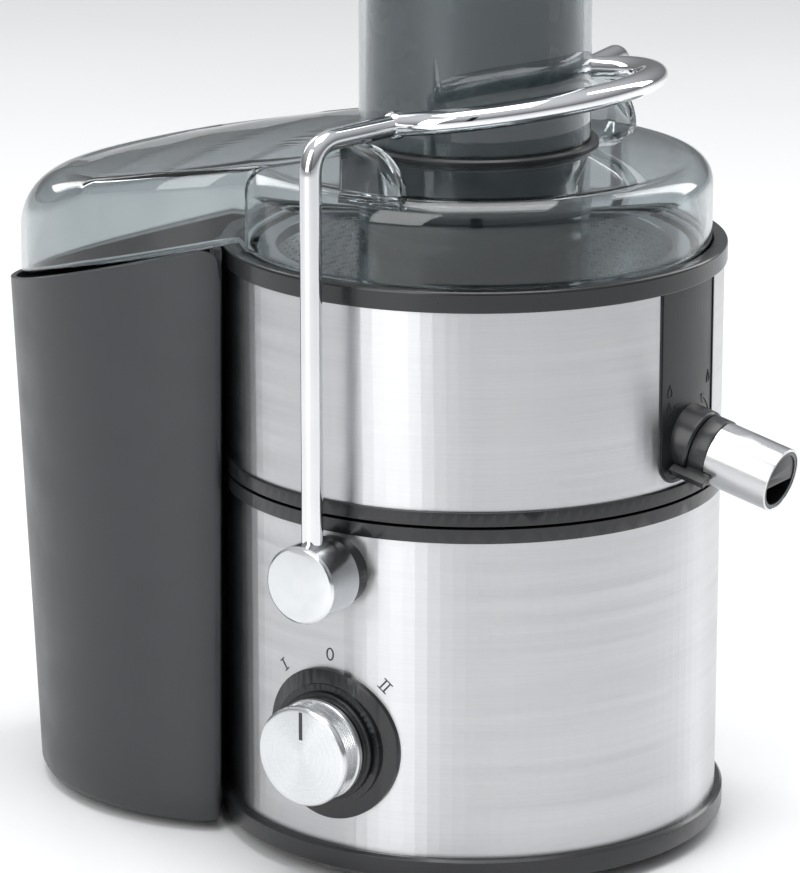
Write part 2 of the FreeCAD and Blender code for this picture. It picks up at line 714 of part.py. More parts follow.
def build_collector_bowl():
    """Juice bowl with its lower ring, sloping floor and the dam round the drive."""
    rim = body_radius + ring_proud
    shell = turned("bowl_shell", [
        (dam_radius - 2.5, bowl_low), (rim, bowl_low), (rim, bowl_ring_top), (bowl_out, bowl_ring_top),
        (bowl_out, bowl_steel_top), (bowl_in, bowl_steel_top), (bowl_in, bowl_floor),
        (dam_radius, bowl_floor + 2.0), (dam_radius, bowl_floor + 11.0),
        (dam_radius - 2.5, bowl_floor + 11.0)])
    hollow = turned("bowl_underside", [
        (dam_radius + 2.0, bowl_low - 1.0), (bowl_in - 4.0, bowl_low - 1.0),
        (bowl_in - 4.0, bowl_floor - 3.5),
        (dam_radius + 2.0, bowl_floor - 1.5)])
    foot = turned("bowl_foot", ring(69.0, 72.0, deck_top, bowl_floor - 2.5))
    hole = spout_bore("bowl_spout_hole", spout_collar_radius)
    return cut("collector_bowl", fuse("bowl_solid", cut("bowl_hollowed", shell, hollow), foot), hole)


def panel_part(label, inner, outer, high):
    """The part of a ring about Z that lies in the spout panel's outline, square above and round below."""
    knee = panel_low + panel_corner
    narrow = panel_half - panel_corner
    start, reach = PANEL_START, PANEL_REACH
    upper = box(label + "_upper", reach, panel_half * 2.0, high - knee, start, -panel_half, knee)
    lower = box(label + "_lower", reach, narrow * 2.0, panel_corner + 1.0, start, -narrow, panel_low)
    corners = [cylinder(f"{label}_corner_{name}", panel_corner, reach, start, y, knee, V(0, 1, 0), 90.0)
               for name, y in (("front", -narrow), ("rear", narrow))]
    outline = fuse(label + "_outline", upper, lower, *corners)
    return common(label, turned(label + "_band", ring(inner, outer, panel_low - 1.0, high)), outline)


def build_bowl_cladding():
    """Brushed steel band round the bowl, open where the spout panel sits."""
    band = turned("bowl_band", ring(bowl_out, body_radius, bowl_ring_top, bowl_steel_top))
    window = panel_part("bowl_window", bowl_out - 1.0, body_radius + 1.0, bowl_steel_top + 1.0)
    return cut("bowl_cladding", band, window)


def build_bowl_top_ring():
    """Black ring that clamps the band and carries the lid in its rebate."""
    rim = body_radius + ring_proud
    return turned("bowl_top_ring", [
        (bowl_in - 4.5, bowl_steel_top), (rim, bowl_steel_top), (rim, bowl_top - 0.8), (rim - 0.8, bowl_top),
        (lid_radius + gap, bowl_top), (lid_radius + gap, bowl_top - 2.0), (bowl_in - 4.5, bowl_top - 2.0)])


def build_spout_panel():
    """Dark panel in the steel round the spout, from the top ring down to below the spout."""
    panel = panel_part("panel_sheet", bowl_out, body_radius + 0.3, bowl_steel_top)
    return cut("spout_panel", panel, spout_bore("panel_spout_hole", spout_collar_radius))


JOURNAL_RADIUS = 11.3
SPOUT_BORE_RADIUS = 9.8
PANEL_START = 60.0
PANEL_REACH = 60.0
COLLAR_REACH = 6.5
BARREL_END = 13.5
TAB_WIDTH = 2.6
TAB_RISE = 5.2
TAB_START = 2.0
TAB_END = 17.0
TAB_ANGLE = -62.0


def build_spout_collar():
    """Fixed collar in the bowl's wall in which the spout turns."""
    collar = turned("spout_collar", [
        (JOURNAL_RADIUS + running_fit, -3.6), (spout_collar_radius, -3.6),
        (spout_collar_radius, COLLAR_REACH - 0.8),
        (spout_collar_radius - 0.8, COLLAR_REACH), (JOURNAL_RADIUS + running_fit, COLLAR_REACH)])
    return on_spout(collar)


def build_spout_barrel():
    """Turning spout tube with its black ring, inner snap flange and lever tab."""
    ring_radius = sleeve_radius + 0.5
    tube = turned("barrel_tube", [
        (SPOUT_BORE_RADIUS, -7.0), (JOURNAL_RADIUS + 1.6, -7.0), (JOURNAL_RADIUS + 1.6, -5.4),
        (JOURNAL_RADIUS, -5.4), (JOURNAL_RADIUS, COLLAR_REACH + gap), (ring_radius, COLLAR_REACH + gap),
        (ring_radius, BARREL_END), (sleeve_radius - 1.0, BARREL_END),
        (sleeve_radius - 1.0, spout_length - 0.3),
        (SPOUT_BORE_RADIUS, spout_length - 0.3)])
    tip = float(sleeve_radius) + TAB_RISE
    lever = []
    for root, low, high in ((sleeve_radius + 0.1, COLLAR_REACH + gap, TAB_END),
                            (spout_collar_radius + gap, TAB_START, COLLAR_REACH + gap)):
        lever.append(Part.makeBox(tip - float(root), TAB_WIDTH, float(high - low),
                                  V(float(root), -TAB_WIDTH / 2.0, float(low))))
    tab = lever[0].fuse(lever[1])
    tab.rotate(V(0, 0, 0), UP, TAB_ANGLE)
    return on_spout(fuse("spout_barrel", tube, made("barrel_lever", tab)))


def build_spout_sleeve():
    """Steel sleeve pressed over the turning tube."""
    sleeve = turned("spout_sleeve", ring(sleeve_radius - 1.0, sleeve_radius, BARREL_END, spout_length))
    return on_spout(sleeve)


def build_spout_tip():
    """Half-moon insert in the spout's mouth."""
    plug = turned("tip_plug", ring(0.0, SPOUT_BORE_RADIUS, spout_length - 2.5, spout_length - 0.7))
    half = box("tip_lower_half", 30.0, 30.0, 10.0, 1.5, -15.0, spout_length - 6.0)
    return on_spout(cut("spout_tip", plug, half))


def build_spout_seal():
    """Flat silicone seal behind the collar on the turning tube."""
    return on_spout(turned("spout_seal", ring(JOURNAL_RADIUS, JOURNAL_RADIUS + 1.6, -5.4, -4.0)))


# ---- basket ------------------------------------------------------------------------------------------

def build_basket_hub():
    """Moulded hub whose hexagonal socket drops on the coupling."""
    socket_top = coupling_low + 24.0 + 0.5
    hub = turned("hub_body", [
        (0.0, socket_top), (0.0, socket_top + 3.0), (basket_low_radius, socket_top + 3.0),
        (basket_low_radius, socket_top), (dam_radius + 5.0, socket_top), (dam_radius + 5.0, bowl_floor + 5.0),
        (dam_radius + 3.0, bowl_floor + 5.0), (dam_radius + 3.0, socket_top)])
    boss = cylinder("hub_boss", 13.0, 12.0, 0.0, 0.0, socket_top - 12.0)
    socket = doc.addObject("Part::Prism", "hub_socket")
    socket.Polygon = 6
    socket.Circumradius = 9.5
    socket.Height = 12.5
    place(socket, 0.0, 0.0, socket_top - 12.5)
    return cut("basket_hub", fuse("hub_solid", hub, boss), socket)


def build_grater_disc():
    """Steel grating disc with rows of raised teeth."""
    low = coupling_low + 27.5
    plate = cylinder("grater_plate", basket_low_radius - 1.0, 0.8, 0.0, 0.0, low)
    teeth = []
    for circle in range(6):
        radius = 10.0 + 7.5 * circle
        tooth = Part.makeCone(1.2, 0.3, 1.6, V(radius, 0, float(low) + 0.8))
        for turn in range(8):
            copy = tooth.copy()
            copy.rotate(V(0, 0, 0), UP, 45.0 * turn + 15.0 * circle)
            teeth.append(copy)
    return fuse("grater_disc", plate, made("grater_teeth", Part.makeCompound(teeth)))


def build_strainer_cone():
    """Conical micro-mesh strainer of thin steel."""
    low = coupling_low + 24.5
    top = basket_top
    flare = basket_rim_radius - 7.0
    return turned("strainer_cone", [
        (basket_low_radius, low), (basket_low_radius + 0.8, low), (flare + 0.8, top), (flare, top)])


def build_basket_rim():
    """Moulded balancing ring at the strainer's mouth."""
    top = basket_top
    flare = basket_rim_radius - 7.0
    return turned("basket_rim", [
        (flare - 0.6, top), (basket_rim_radius, top), (basket_rim_radius, top + 3.6),
        (basket_rim_radius - 1.0, top + 4.4), (flare - 0.6, top + 4.4)])


# ---- lid, chute and pusher ---------------------------------------------------------------------------

COLLAR_WIDTH = 3.2
FIN_THICKNESS = 5.0
collar_seat = lid_crown - 0.45


def slanted_block(label, lift, height=120.0):
    """A block whose underside is the slanted plane between the container's rim and the pulp cover."""
    block = box(label, 260.0, 260.0, height, 0.0, 0.0, 0.0)
    angle = math.radians(rim_slope)
    anchor = V(-float(body_radius), 0, float(rim_at_body) + lift)
    along = V(math.cos(angle), 0, math.sin(angle))
    corner = anchor - along * 200.0 - V(0, 130.0, 0)
    place(block, corner.x, corner.y, corner.z, V(0, 1, 0), -rim_slope)
    return block


def oval(label, x, half_length, half_width, low, high):
    """An upright elliptical block lying along X."""
    ellipse = doc.addObject("Part::Ellipse", label + "_edge")
    for name, value in (("MajorRadius", half_length), ("MinorRadius", half_width)):
        setattr(ellipse, name, float(value))
        bind(ellipse, name, value)
    place(ellipse, x, 0.0, low)
    block = doc.addObject("Part::Extrusion", label)
    block.Base = ellipse
    block.DirMode = "Normal"
    block.LengthFwd = float(high - low)
    bind(block, "LengthFwd", high - low)
    block.Solid = True
    return block


def cover_profile(label, inset):
    """Side view of the pulp cover as a block across Y: crown, falling roof and rounded end."""
    near = -float(bin_x) + 60.0
    end = -float(bin_x) - float(cover_length) + inset
    crown = float(lid_crown) - inset
    tail = float(cover_end) - inset
    low = float(rim_at_body) - 60.0 - 2.0 * inset
    knee = V(end + 25.0, 0, tail - 1.0)
    roof = Part.BSplineCurve()
    roof.interpolate([V(near, 0, crown), V(-float(bin_x) - 14.0, 0, crown - 9.5), knee],
                     InitialTangent=V(-1, 0, 0), FinalTangent=V(-0.94, 0, -0.34))
    nose = Part.BSplineCurve()
    nose.interpolate([knee, V(end + 7.5, 0, tail - 13.5), V(end, 0, tail - 32.0)],
                     InitialTangent=V(-0.94, 0, -0.34), FinalTangent=V(0, 0, -1))
    corners = [V(end, 0, tail - 32.0), V(end, 0, low), V(0, 0, low), V(0, 0, crown), V(near, 0, crown)]
    lines = [Part.makeLine(first, second) for first, second in zip(corners, corners[1:])]
    outline = Part.Wire([roof.toShape(), nose.toShape()] + lines)
    block = Part.Face(outline).extrude(V(0, 240.0, 0))
    block.translate(V(0, -120.0, 0))
    return made(label, block)


def cover_block(label, inset):
    """The pulp cover as a solid, inset from its outside by a wall."""
    half_length, half_width = cover_length - inset, cover_width - inset
    plan = oval(label + "_plan", -bin_x, half_length, half_width, ring_top, lid_crown + 20.0)
    whole = common(label + "_roofed", plan, cover_profile(label + "_profile", float(inset)))
    return cut(label, whole, cylinder(label + "_middle", chute_radius - 4.0 + inset, 400.0))


def dome_block(label, inset, low):
    """The lid's dome as a solid, inset from its outside by a wall."""
    edge = lid_radius - inset
    shoulder = lid_shoulder - inset
    crown = lid_crown - inset
    bend = lid_round - inset
    corner = []
    for step in range(7):
        angle = math.radians(15.0 * step)
        corner.append((edge - bend + bend * math.cos(angle), shoulder - bend + bend * math.sin(angle)))
    return turned(label, [(0.0, low), (edge, low)] + corner + [(chute_radius, crown), (0.0, crown)])


def build_lid():
    """Clear lid: dome over the basket, pulp cover over the container, and two latch fins."""
    thick = wall - 0.2
    low = bowl_top - 2.0
    outer = fuse("lid_outside", dome_block("dome_outside", 0.0, low), cover_block("cover_outside", 0.0))
    dome_space = dome_block("dome_inside", thick, low - 1.0)
    cover_space = cover_block("cover_inside", thick)
    fins = []
    for side in (-1, 1):
        middle = side * (fin_reach - FIN_THICKNESS / 2.0)
        disc = cylinder(f"fin_disc_{side}", fin_radius, FIN_THICKNESS, 2.6, middle + FIN_THICKNESS / 2.0,
                        fin_height, *KNOB_TURN)
        keep = box(f"fin_keep_{side}", 27.0, 6.0, 40.0, -5.0, middle - 3.0, lid_shoulder - 8.0)
        fins.append(common(f"fin_{side}", disc, keep))
    above_rim = slanted_block("lid_above_rim", 0.3)
    ring_radius = body_radius + ring_proud + gap
    ring_space = cylinder("lid_ring_space", ring_radius, 60.0, 0.0, 0.0, bowl_top + 0.3 - 60.0)
    seat_space = cylinder("lid_seat", lid_radius, 70.0, 0.0, 0.0, low)
    clear_ring = cut("lid_clear_of_ring", ring_space, seat_space)
    shell = cut("lid_shell", outer, dome_space, cover_space)
    trimmed = common("lid_trimmed", shell, fuse("lid_region", above_rim, seat_space))
    hole = cylinder("lid_chute_hole", chute_radius, 100.0, 0.0, 0.0, low - 10.0)
    seat = cylinder("lid_collar_seat", chute_radius + COLLAR_WIDTH, 20.0, 0.0, 0.0, collar_seat)
    return fuse("lid", cut("lid_opened", trimmed, clear_ring, hole, seat), *fins)


def build_feed_chute():
    """Straight clear chute from above the lid down to the grater."""
    bore = chute_radius - wall
    return turned("feed_chute", [
        (bore, chute_bottom), (chute_radius, chute_bottom), (chute_radius, chute_top - 6.0),
        (chute_radius + 2.2, chute_top - 4.0), (chute_radius + 2.2, chute_top), (bore, chute_top)])


def build_chute_collar():
    """Dark bonding collar where the chute passes through the lid."""
    edge = chute_radius + COLLAR_WIDTH
    return turned("chute_collar", [
        (chute_radius, collar_seat), (edge, collar_seat), (edge, lid_crown + 1.2),
        (edge - 1.0, lid_crown + 2.2), (chute_radius, lid_crown + 2.2)])


def build_lid_seal():
    """Soft seal in the rebate of the bowl's ring, inside the lid's edge."""
    outer = lid_radius - wall
    return turned("lid_seal", ring(outer - 2.4, outer - gap, bowl_top - 2.0, bowl_top - 0.8))


def build_pusher():
    """Hollow pusher that slides down the chute, closed at the bottom."""
    outer = chute_radius - wall - pusher_play
    low = chute_bottom + 3.0
    top = chute_top + 4.0
    return turned("pusher", [
        (0.0, low), (outer - 3.0, low), (outer, low + 3.0), (outer, top), (outer - 2.4, top),
        (outer - 2.4, low + 3.0), (0.0, low + 3.0)])


def build_pusher_cap():
    """Moulded cap of the pusher, resting on the chute's mouth."""
    outer = chute_radius + 2.2
    inner = chute_radius - wall - pusher_play
    low = chute_top + gap
    return turned("pusher_cap", [
        (inner, low), (outer, low), (outer, low + 7.0), (outer - 4.0, low + 12.0), (outer - 6.0, low + 24.0),
        (outer - 3.0, low + cap_height - 3.0), (outer - 6.0, low + cap_height), (0.0, low + cap_height),
        (0.0, low + cap_height - 2.6), (outer - 8.6, low + cap_height - 2.6), (outer - 8.6, low + 10.0),
        (inner, low + 6.0)])


# ---- locking arm -------------------------------------------------------------------------------------

def rod_path():
    """The front leg's centre line from its cap up, over the bend and in to the loop's end."""
    foot = V(0, -float(arm_reach), float(pivot_height))
    corner = V(0, -float(arm_reach), float(arm_height))
    crimp = V(float(loop_start), -float(loop_half_width), float(arm_height + loop_rise))
    inward = (crimp - corner).normalize()
    bend_start = corner - V(0, 0, float(arm_bend))
    bend_end = corner + inward * float(arm_bend)
    middle = corner + (inward - UP).normalize() * float(arm_bend) * 0.44
    arc = Part.Arc(bend_start, middle, bend_end)
    return Part.Wire([Part.makeLine(foot, bend_start), arc.toShape(), Part.makeLine(bend_end, crimp)])


def loop_band():
    """Flattened band that swings round the chute, swept along a half ellipse in a sloping plane."""
    rise = math.tan(math.radians(loop_slope))
    count = 24
    sections = []
    start = V(float(loop_start), 0, float(arm_height + loop_rise))
    for index in range(count + 1):
        angle = math.radians(-90.0 + 180.0 * index / count)
        ahead = float(loop_depth) * math.cos(angle)
        point = start + V(ahead, float(loop_half_width) * math.sin(angle), ahead * rise)
        along = V(-float(loop_depth) * math.sin(angle), float(loop_half_width) * math.cos(angle), 0)
        along.z = along.x * rise
        along.normalize()
        normal = V(-rise, 0, 1).normalize()
        outward = along.cross(normal)
        grow = 1.0 if 1 < index < count - 1 else 0.72
        half_wide = float(band_width) / 2.0 * grow
        half_high = float(band_height) / 2.0 * (1.0 if grow == 1.0 else 0.9)
        frame = FreeCAD.Matrix(outward.x, normal.x, along.x, point.x, outward.y, normal.y, along.y, point.y,
                               outward.z, normal.z, along.z, point.z, 0, 0, 0, 1)
        wide, high = max(half_wide, half_high), min(half_wide, half_high)
        edge = Part.Ellipse(V(0, 0, 0), wide, high).toShape()
        edge.transformShape(frame)
        sections.append(Part.Wire([edge]))
    return Part.makeLoft(sections, True)


def build_locking_arm():
    """Chrome bail: two round legs, bent inward, joined by the flattened loop round the chute."""
    path = rod_path()
    foot = V(0, -float(arm_reach), float(pivot_height))
    section = Part.Wire([Part.makeCircle(float(rod_radius), foot, UP)])
    leg = path.makePipeShell([section], True, False)
    start = V(float(loop_start), -float(loop_half_width), float(arm_height + loop_rise))
    knuckle = Part.makeSphere(float(rod_radius) + 0.6, start)
    front = leg.fuse(knuckle)
    back = front.mirror(V(0, 0, 0), V(0, 1, 0))
    whole = front.fuse([back, loop_band()])
    bore = Part.makeCylinder(float(cap_radius), 260.0, V(0, -130.0, float(pivot_height)), V(0, 1, 0))
    return made("locking_arm", whole.cut(bore))


def build_arm_caps():
    """Aluminium end caps that carry the arm on its pins, front and back."""
    reach = arm_reach + cap_length / 2.0
    back = arm_reach - cap_length / 2.0
    cap = turned("arm_cap", [
        (pin_radius + running_fit, back), (cap_radius, back), (cap_radius, reach - 1.0),
        (cap_radius - 1.0, reach), (0.0, reach), (0.0, body_radius + 20.5),
        (pin_radius + running_fit, body_radius + 20.5)])
    place(cap, 0.0, 0.0, pivot_height, *KNOB_TURN)
    return copies_round("arm_caps", cap, 2)


# ---- pulp container ----------------------------------------------------------------------------------

def container_block(label, inset, low):
    """The container's outside as a tapering block, inset by its wall."""
    foot = doc.addObject("Part::Circle", label + "_foot")
    foot.Radius = float(bin_foot_radius - inset)
    bind(foot, "Radius", bin_foot_radius - inset)
    place(foot, -bin_x + 4.0, 0.0, low)
    mouth = doc.addObject("Part::Ellipse", label + "_mouth")
    for name, value in (("MajorRadius", bin_length - inset), ("MinorRadius", bin_width - inset)):
        setattr(mouth, name, float(value))
        bind(mouth, name, value)
    place(mouth, -bin_x, 0.0, rim_at_body + 22.0)
    block = doc.addObject("Part::Loft", label)
    block.Sections = [foot, mouth]
    block.Solid = True
    doc.recompute()
    return block


def build_pulp_container():
    """Dark pulp container hollowed to the round of the body, its rim cut on the slant."""
    outside = container_block("container_outside", 0.0, bin_base)
    inside_block = container_block("container_inside", bin_wall, bin_base + bin_wall)
    near = body_radius + bottom_proud + 2.4
    body_space = cone("container_body_space", near, body_radius + ring_proud + 1.4, 270.0, bin_base - 1.0)
    inner_space = cone("container_inner_space", near + bin_wall, body_radius + ring_proud + 1.4 + bin_wall,
                       270.0, bin_base - 1.0)
    hollow = cut("container_hollow", inside_block, inner_space)
    above = slanted_block("container_above_rim", 0.0)
    return cut("pulp_container", outside, body_space, hollow, above)


def build_container_pads():
    """Two small pads under the container's near corners."""
    x = 22.0 - float(bin_x)
    pads = [Part.makeCylinder(5.0, float(bin_base), V(x, side * 62.0, 0)) for side in (-1, 1)]
    return made("container_pads", Part.makeCompound(pads))


builders = [
    build_base_housing, build_base_cladding, build_bottom_cover, build_rubber_feet, build_cover_screws,
    build_cord_inlet, build_escutcheon, build_knob_cap, build_knob_collar, build_knob_shaft,
    build_selector_switch, build_pivot_pins, build_pivot_bushes, build_circuit_board, build_interlock_switch,
    build_motor_stator, build_stator_coils, build_upper_bracket, build_lower_bracket, build_motor_bolts,
    build_motor_spacers, build_motor_grommets, build_motor_studs, build_brush_holders, build_carbon_brushes,
    build_shaft_seal, build_motor_shaft, build_armature_core, build_armature_windings, build_commutator,
    build_cooling_fan, build_drive_coupling, build_collector_bowl, build_bowl_cladding, build_bowl_top_ring,
    build_spout_panel, build_spout_collar, build_spout_barrel, build_spout_sleeve, build_spout_tip,
    build_spout_seal, build_basket_hub, build_grater_disc, build_strainer_cone, build_basket_rim, build_lid,
    build_feed_chute, build_chute_collar, build_lid_seal, build_pusher, build_pusher_cap, build_locking_arm,
    build_arm_caps, build_pulp_container, build_container_pads]

for builder in builders:
    name = builder.__name__.replace("build_", "")
    node(name, builder())
node("upper_bearing", bearing("upper_bearing", upper_bearing_low))
node("lower_bearing", bearing("lower_bearing", lower_bearing_low))

doc.recompute()
for name, feature in nodes.items():
    if "Invalid" in feature.State or "Error" in feature.State:
        raise RuntimeError(f"{name} did not compute")
    if feature.Shape.isNull() or not feature.Shape.isValid():
        raise RuntimeError(f"{name} has no sound shape")
    feature.Shape.exportStep(f"parts/{name}.step")
    print(name, len(feature.Shape.Solids), round(feature.Shape.Volume / 1000.0, 2), "cm3")
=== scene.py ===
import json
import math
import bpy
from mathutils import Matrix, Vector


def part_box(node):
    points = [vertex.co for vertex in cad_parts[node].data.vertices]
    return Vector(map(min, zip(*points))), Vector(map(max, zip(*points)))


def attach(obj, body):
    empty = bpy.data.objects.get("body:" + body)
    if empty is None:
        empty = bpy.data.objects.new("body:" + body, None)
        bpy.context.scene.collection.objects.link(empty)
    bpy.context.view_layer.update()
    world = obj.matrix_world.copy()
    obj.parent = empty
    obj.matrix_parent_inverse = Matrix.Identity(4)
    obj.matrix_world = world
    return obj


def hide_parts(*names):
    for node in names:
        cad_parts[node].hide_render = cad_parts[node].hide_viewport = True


bl_info = {
    "name": "Centrifugal Juicer",
    "version": (1, 0, 0),
    "blender": (4, 5, 0),
    "location": "View3D > Sidebar > Juicer",
    "description": "Dresses the packed centrifugal juicer with its finished surfaces and materials",
    "category": "Object",
}

import bmesh
import bpy
import numpy as np
from mathutils import Vector

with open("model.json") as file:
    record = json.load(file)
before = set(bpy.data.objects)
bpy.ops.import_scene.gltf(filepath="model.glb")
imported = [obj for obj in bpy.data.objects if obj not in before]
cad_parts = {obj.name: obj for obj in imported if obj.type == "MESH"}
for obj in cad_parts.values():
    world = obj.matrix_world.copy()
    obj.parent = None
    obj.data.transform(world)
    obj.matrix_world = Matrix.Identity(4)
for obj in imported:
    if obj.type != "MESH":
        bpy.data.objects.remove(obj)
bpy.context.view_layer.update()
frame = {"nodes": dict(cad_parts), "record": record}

MM = 0.001
RECORD = frame["record"]
BODY_OF = {node: body for body, names in RECORD["behaviour"]["bodies"].items() for node in names}


def lows(node):
    """Lowest corner of a CAD node in millimetres."""
    return np.array(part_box(node)[0]) / MM


def highs(node):
    """Highest corner of a CAD node in millimetres."""
    return np.array(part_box(node)[1]) / MM


# Sizes that the frame itself gives, in millimetres.
BODY_RADIUS = highs("base_cladding")[1]
PIVOT_HEIGHT = (lows("arm_caps")[2] + highs("arm_caps")[2]) / 2.0
KNOB_HEIGHT = (lows("knob_cap")[2] + highs("knob_cap")[2]) / 2.0
KNOB_X = (lows("knob_cap")[0] + highs("knob_cap")[0]) / 2.0
KNOB_FACE = -lows("knob_cap")[1]
KNOB_BACK = -highs("knob_cap")[1]
CHUTE_LOW = lows("feed_chute")[2]
CHUTE_HIGH = highs("feed_chute")[2]

# Sizes of the pieces built here, in millimetres unless the name says degrees.
CHUTE_BORE = 41.2
CHUTE_RADIUS = 43.8
CHUTE_LIP = 46.0
DOME_FALL = 0.115
LID_WALL = 2.3
LID_EDGE = 229.0
EDGE_ROUND = 10.0
FIN_CENTRE = (2.6, 261.5)
FIN_RADIUS = 19.0
FIN_FOOT = 257.5
FIN_OUTSIDE = 85.0
FIN_INSIDE = 80.0
RIM_HEIGHT = 224.1
RIM_SLOPE = 0.2586
RIM_CORNER = 13.0
BIN_FLOOR = 3.0
BIN_RADIUS = 86.5
BIN_WALL = 2.2
BIN_HOLLOW = 100.4
BIN_STRAIGHT_LOW = 6.5
BIN_STRAIGHT_HIGH = 215.0
BIN_NEAR_START = 0.72
ROD_RADIUS = 4.0
ROD_BEND = 12.0
KNUCKLE_RADIUS = 5.3
LOOP_START = 8.5
LOOP_RISE = 0.7
LOOP_HALF_WIDTH = 68.0
LOOP_DEPTH = 56.0
LOOP_SLOPE_DEGREES = 8.0
KNURL_TURNS = 90.0
KNURL_LEAD = 4.2
KNURL_DEPTH = 0.25
KNURL_ROWS = 26
MARK_REACH = 34.6
MARK_TURN_DEGREES = 42.0
SPOUT_HEIGHT = 164.0
PANEL_RADIUS = 95.3
ARROW_RADIUS = 17.8
ARROW_END_DEGREES = 62.0


# ---- node trees ---------------------------------------------------------------------------------

def linear(code, alpha=1.0):
    """An sRGB hex colour such as '#8090a0' as linear red, green, blue and alpha."""
    parts = [int(code[i:i + 2], 16) / 255.0 for i in (1, 3, 5)]
    return tuple(p / 12.92 if p <= 0.04045 else ((p + 0.055) / 1.055) ** 2.4 for p in parts) + (alpha,)


def add(tree, kind, settings=None, **inputs):
    """Add one node: settings are its properties, inputs its socket values or links.

    An underscore in an input's name stands for a space, and i0, i1 and so on are sockets by number.
    """
    node = tree.nodes.new(kind)
    for name, value in (settings or {}).items():
        setattr(node, name, value)
    for name, value in inputs.items():
        key = int(name[1:]) if name[0] == "i" and name[1:].isdigit() else name.replace("_", " ")
        if isinstance(value, bpy.types.NodeSocket):
            tree.links.new(value, node.inputs[key])
        else:
            node.inputs[key].default_value = value
    return node


def new_material(name):
    """An empty material and the object-space position in millimetres; shade adds its output later."""
    material = bpy.data.materials.new(name)
    material.use_nodes = True
    tree = material.node_tree
    tree.nodes.clear()
    place = add(tree, "ShaderNodeTexCoord")
    scaled = add(tree, "ShaderNodeVectorMath", {"operation": "SCALE"}, Vector=place.outputs["Object"],
                 Scale=1.0 / MM)
    return material, tree, scaled.outputs["Vector"]


def shade(tree, shader):
    """Join a shader to the material's output."""
    output = tree.nodes.new("ShaderNodeOutputMaterial")
    tree.links.new(shader.outputs[0], output.inputs["Surface"])


def noise(tree, vector, size_mm, detail=2.0, stretch=(1.0, 1.0, 1.0)):
    """Noise whose blobs are about size_mm across, longer along axes with a small stretch."""
    mapped = add(tree, "ShaderNodeMapping", {"vector_type": "POINT"}, Vector=vector, Scale=stretch)
    blobs = add(tree, "ShaderNodeTexNoise", Vector=mapped.outputs[0], Scale=1.0 / size_mm, Detail=detail)
    return blobs.outputs[0]


def spread(tree, value, low, high):
    """Map noise from 0.3..0.7 to low..high."""
    return add(tree, "ShaderNodeMapRange", Value=value, From_Min=0.3, From_Max=0.7, To_Min=low,
               To_Max=high).outputs[0]


def tint(tree, value, dark, light):
    """Mix two hex colours by a value from 0 to 1."""
    mix = add(tree, "ShaderNodeMix", {"data_type": "RGBA"}, Factor=value)
    mix.inputs[6].default_value = linear(dark)
    mix.inputs[7].default_value = linear(light)
    return mix.outputs[2]


def bump(tree, height, depth_mm, strength=1.0):
    """A bump of the stated depth."""
    return add(tree, "ShaderNodeBump", Height=height, Distance=depth_mm * MM, Strength=strength).outputs[0]


def moulded_plastic(name, dark, light, roughness, grain_mm, depth_mm=0.02, ior=1.5, coat=0.0):
    """Moulded plastic: faint cloudy tone, sheen that varies a little and a fine spark-eroded grain."""
    material, tree, here = new_material(name)
    cloud = noise(tree, here, 18.0, 3.0)
    grain = noise(tree, here, grain_mm, 3.0)
    shader = add(tree, "ShaderNodeBsdfPrincipled", IOR=ior, Coat_Weight=coat, Coat_Roughness=0.12,
                 Base_Color=tint(tree, cloud, dark, light),
                 Roughness=spread(tree, cloud, roughness * 0.88, roughness * 1.12),
                 Normal=bump(tree, grain, depth_mm, 0.35))
    shade(tree, shader)
    return material


def brushed_steel(name, light, dark, roughness, round_body=True):
    """Stainless sheet brushed round the body: fine lines that run level and draw highlights upright."""
    material, tree, here = new_material(name)
    stretch = (0.015, 0.015, 1.0) if round_body else (1.0, 1.0, 0.02)
    lines = noise(tree, here, 0.55, 4.0, stretch)
    broad = noise(tree, here, 4.0, 2.0, stretch)
    tangent = add(tree, "ShaderNodeTangent", {"direction_type": "RADIAL", "axis": "Z"})
    shader = add(tree, "ShaderNodeBsdfPrincipled", Metallic=1.0, Anisotropic=0.8, Anisotropic_Rotation=0.25,
                 Base_Color=tint(tree, lines, dark, light),
                 Roughness=spread(tree, broad, roughness * 0.9, roughness * 1.15),
                 Tangent=tangent.outputs[0], Normal=bump(tree, lines, 0.006, 0.5))
    shade(tree, shader)
    return material


def spun_aluminium(name, axis):
    """Turned aluminium: fine rings left by the tool about one axis, with a fan-shaped highlight."""
    material, tree, here = new_material(name)
    keep = {"Y": (1.0, 0.0, 1.0), "Z": (1.0, 1.0, 0.0)}[axis]
    centre = (-KNOB_X, 0.0, -KNOB_HEIGHT) if axis == "Y" else (0.0, 0.0, 0.0)
    flat = add(tree, "ShaderNodeMapping", {"vector_type": "POINT"}, Vector=here, Location=centre)
    flat = add(tree, "ShaderNodeVectorMath", {"operation": "MULTIPLY"}, i0=flat.outputs[0], i1=keep)
    reach = add(tree, "ShaderNodeVectorMath", {"operation": "LENGTH"}, i0=flat.outputs[0])
    rings = add(tree, "ShaderNodeTexNoise", {"noise_dimensions": "1D"}, W=reach.outputs["Value"], Scale=3.2,
                Detail=3.0)
    tangent = add(tree, "ShaderNodeTangent", {"direction_type": "RADIAL", "axis": axis})
    shader = add(tree, "ShaderNodeBsdfPrincipled", Metallic=1.0, Anisotropic=0.85, Anisotropic_Rotation=0.25,
                 Base_Color=tint(tree, rings.outputs[0], "#c9cbcd", "#f1f2f3"),
                 Roughness=spread(tree, rings.outputs[0], 0.2, 0.3),
                 Tangent=tangent.outputs[0], Normal=bump(tree, rings.outputs[0], 0.01, 0.5))
    shade(tree, shader)
    return material


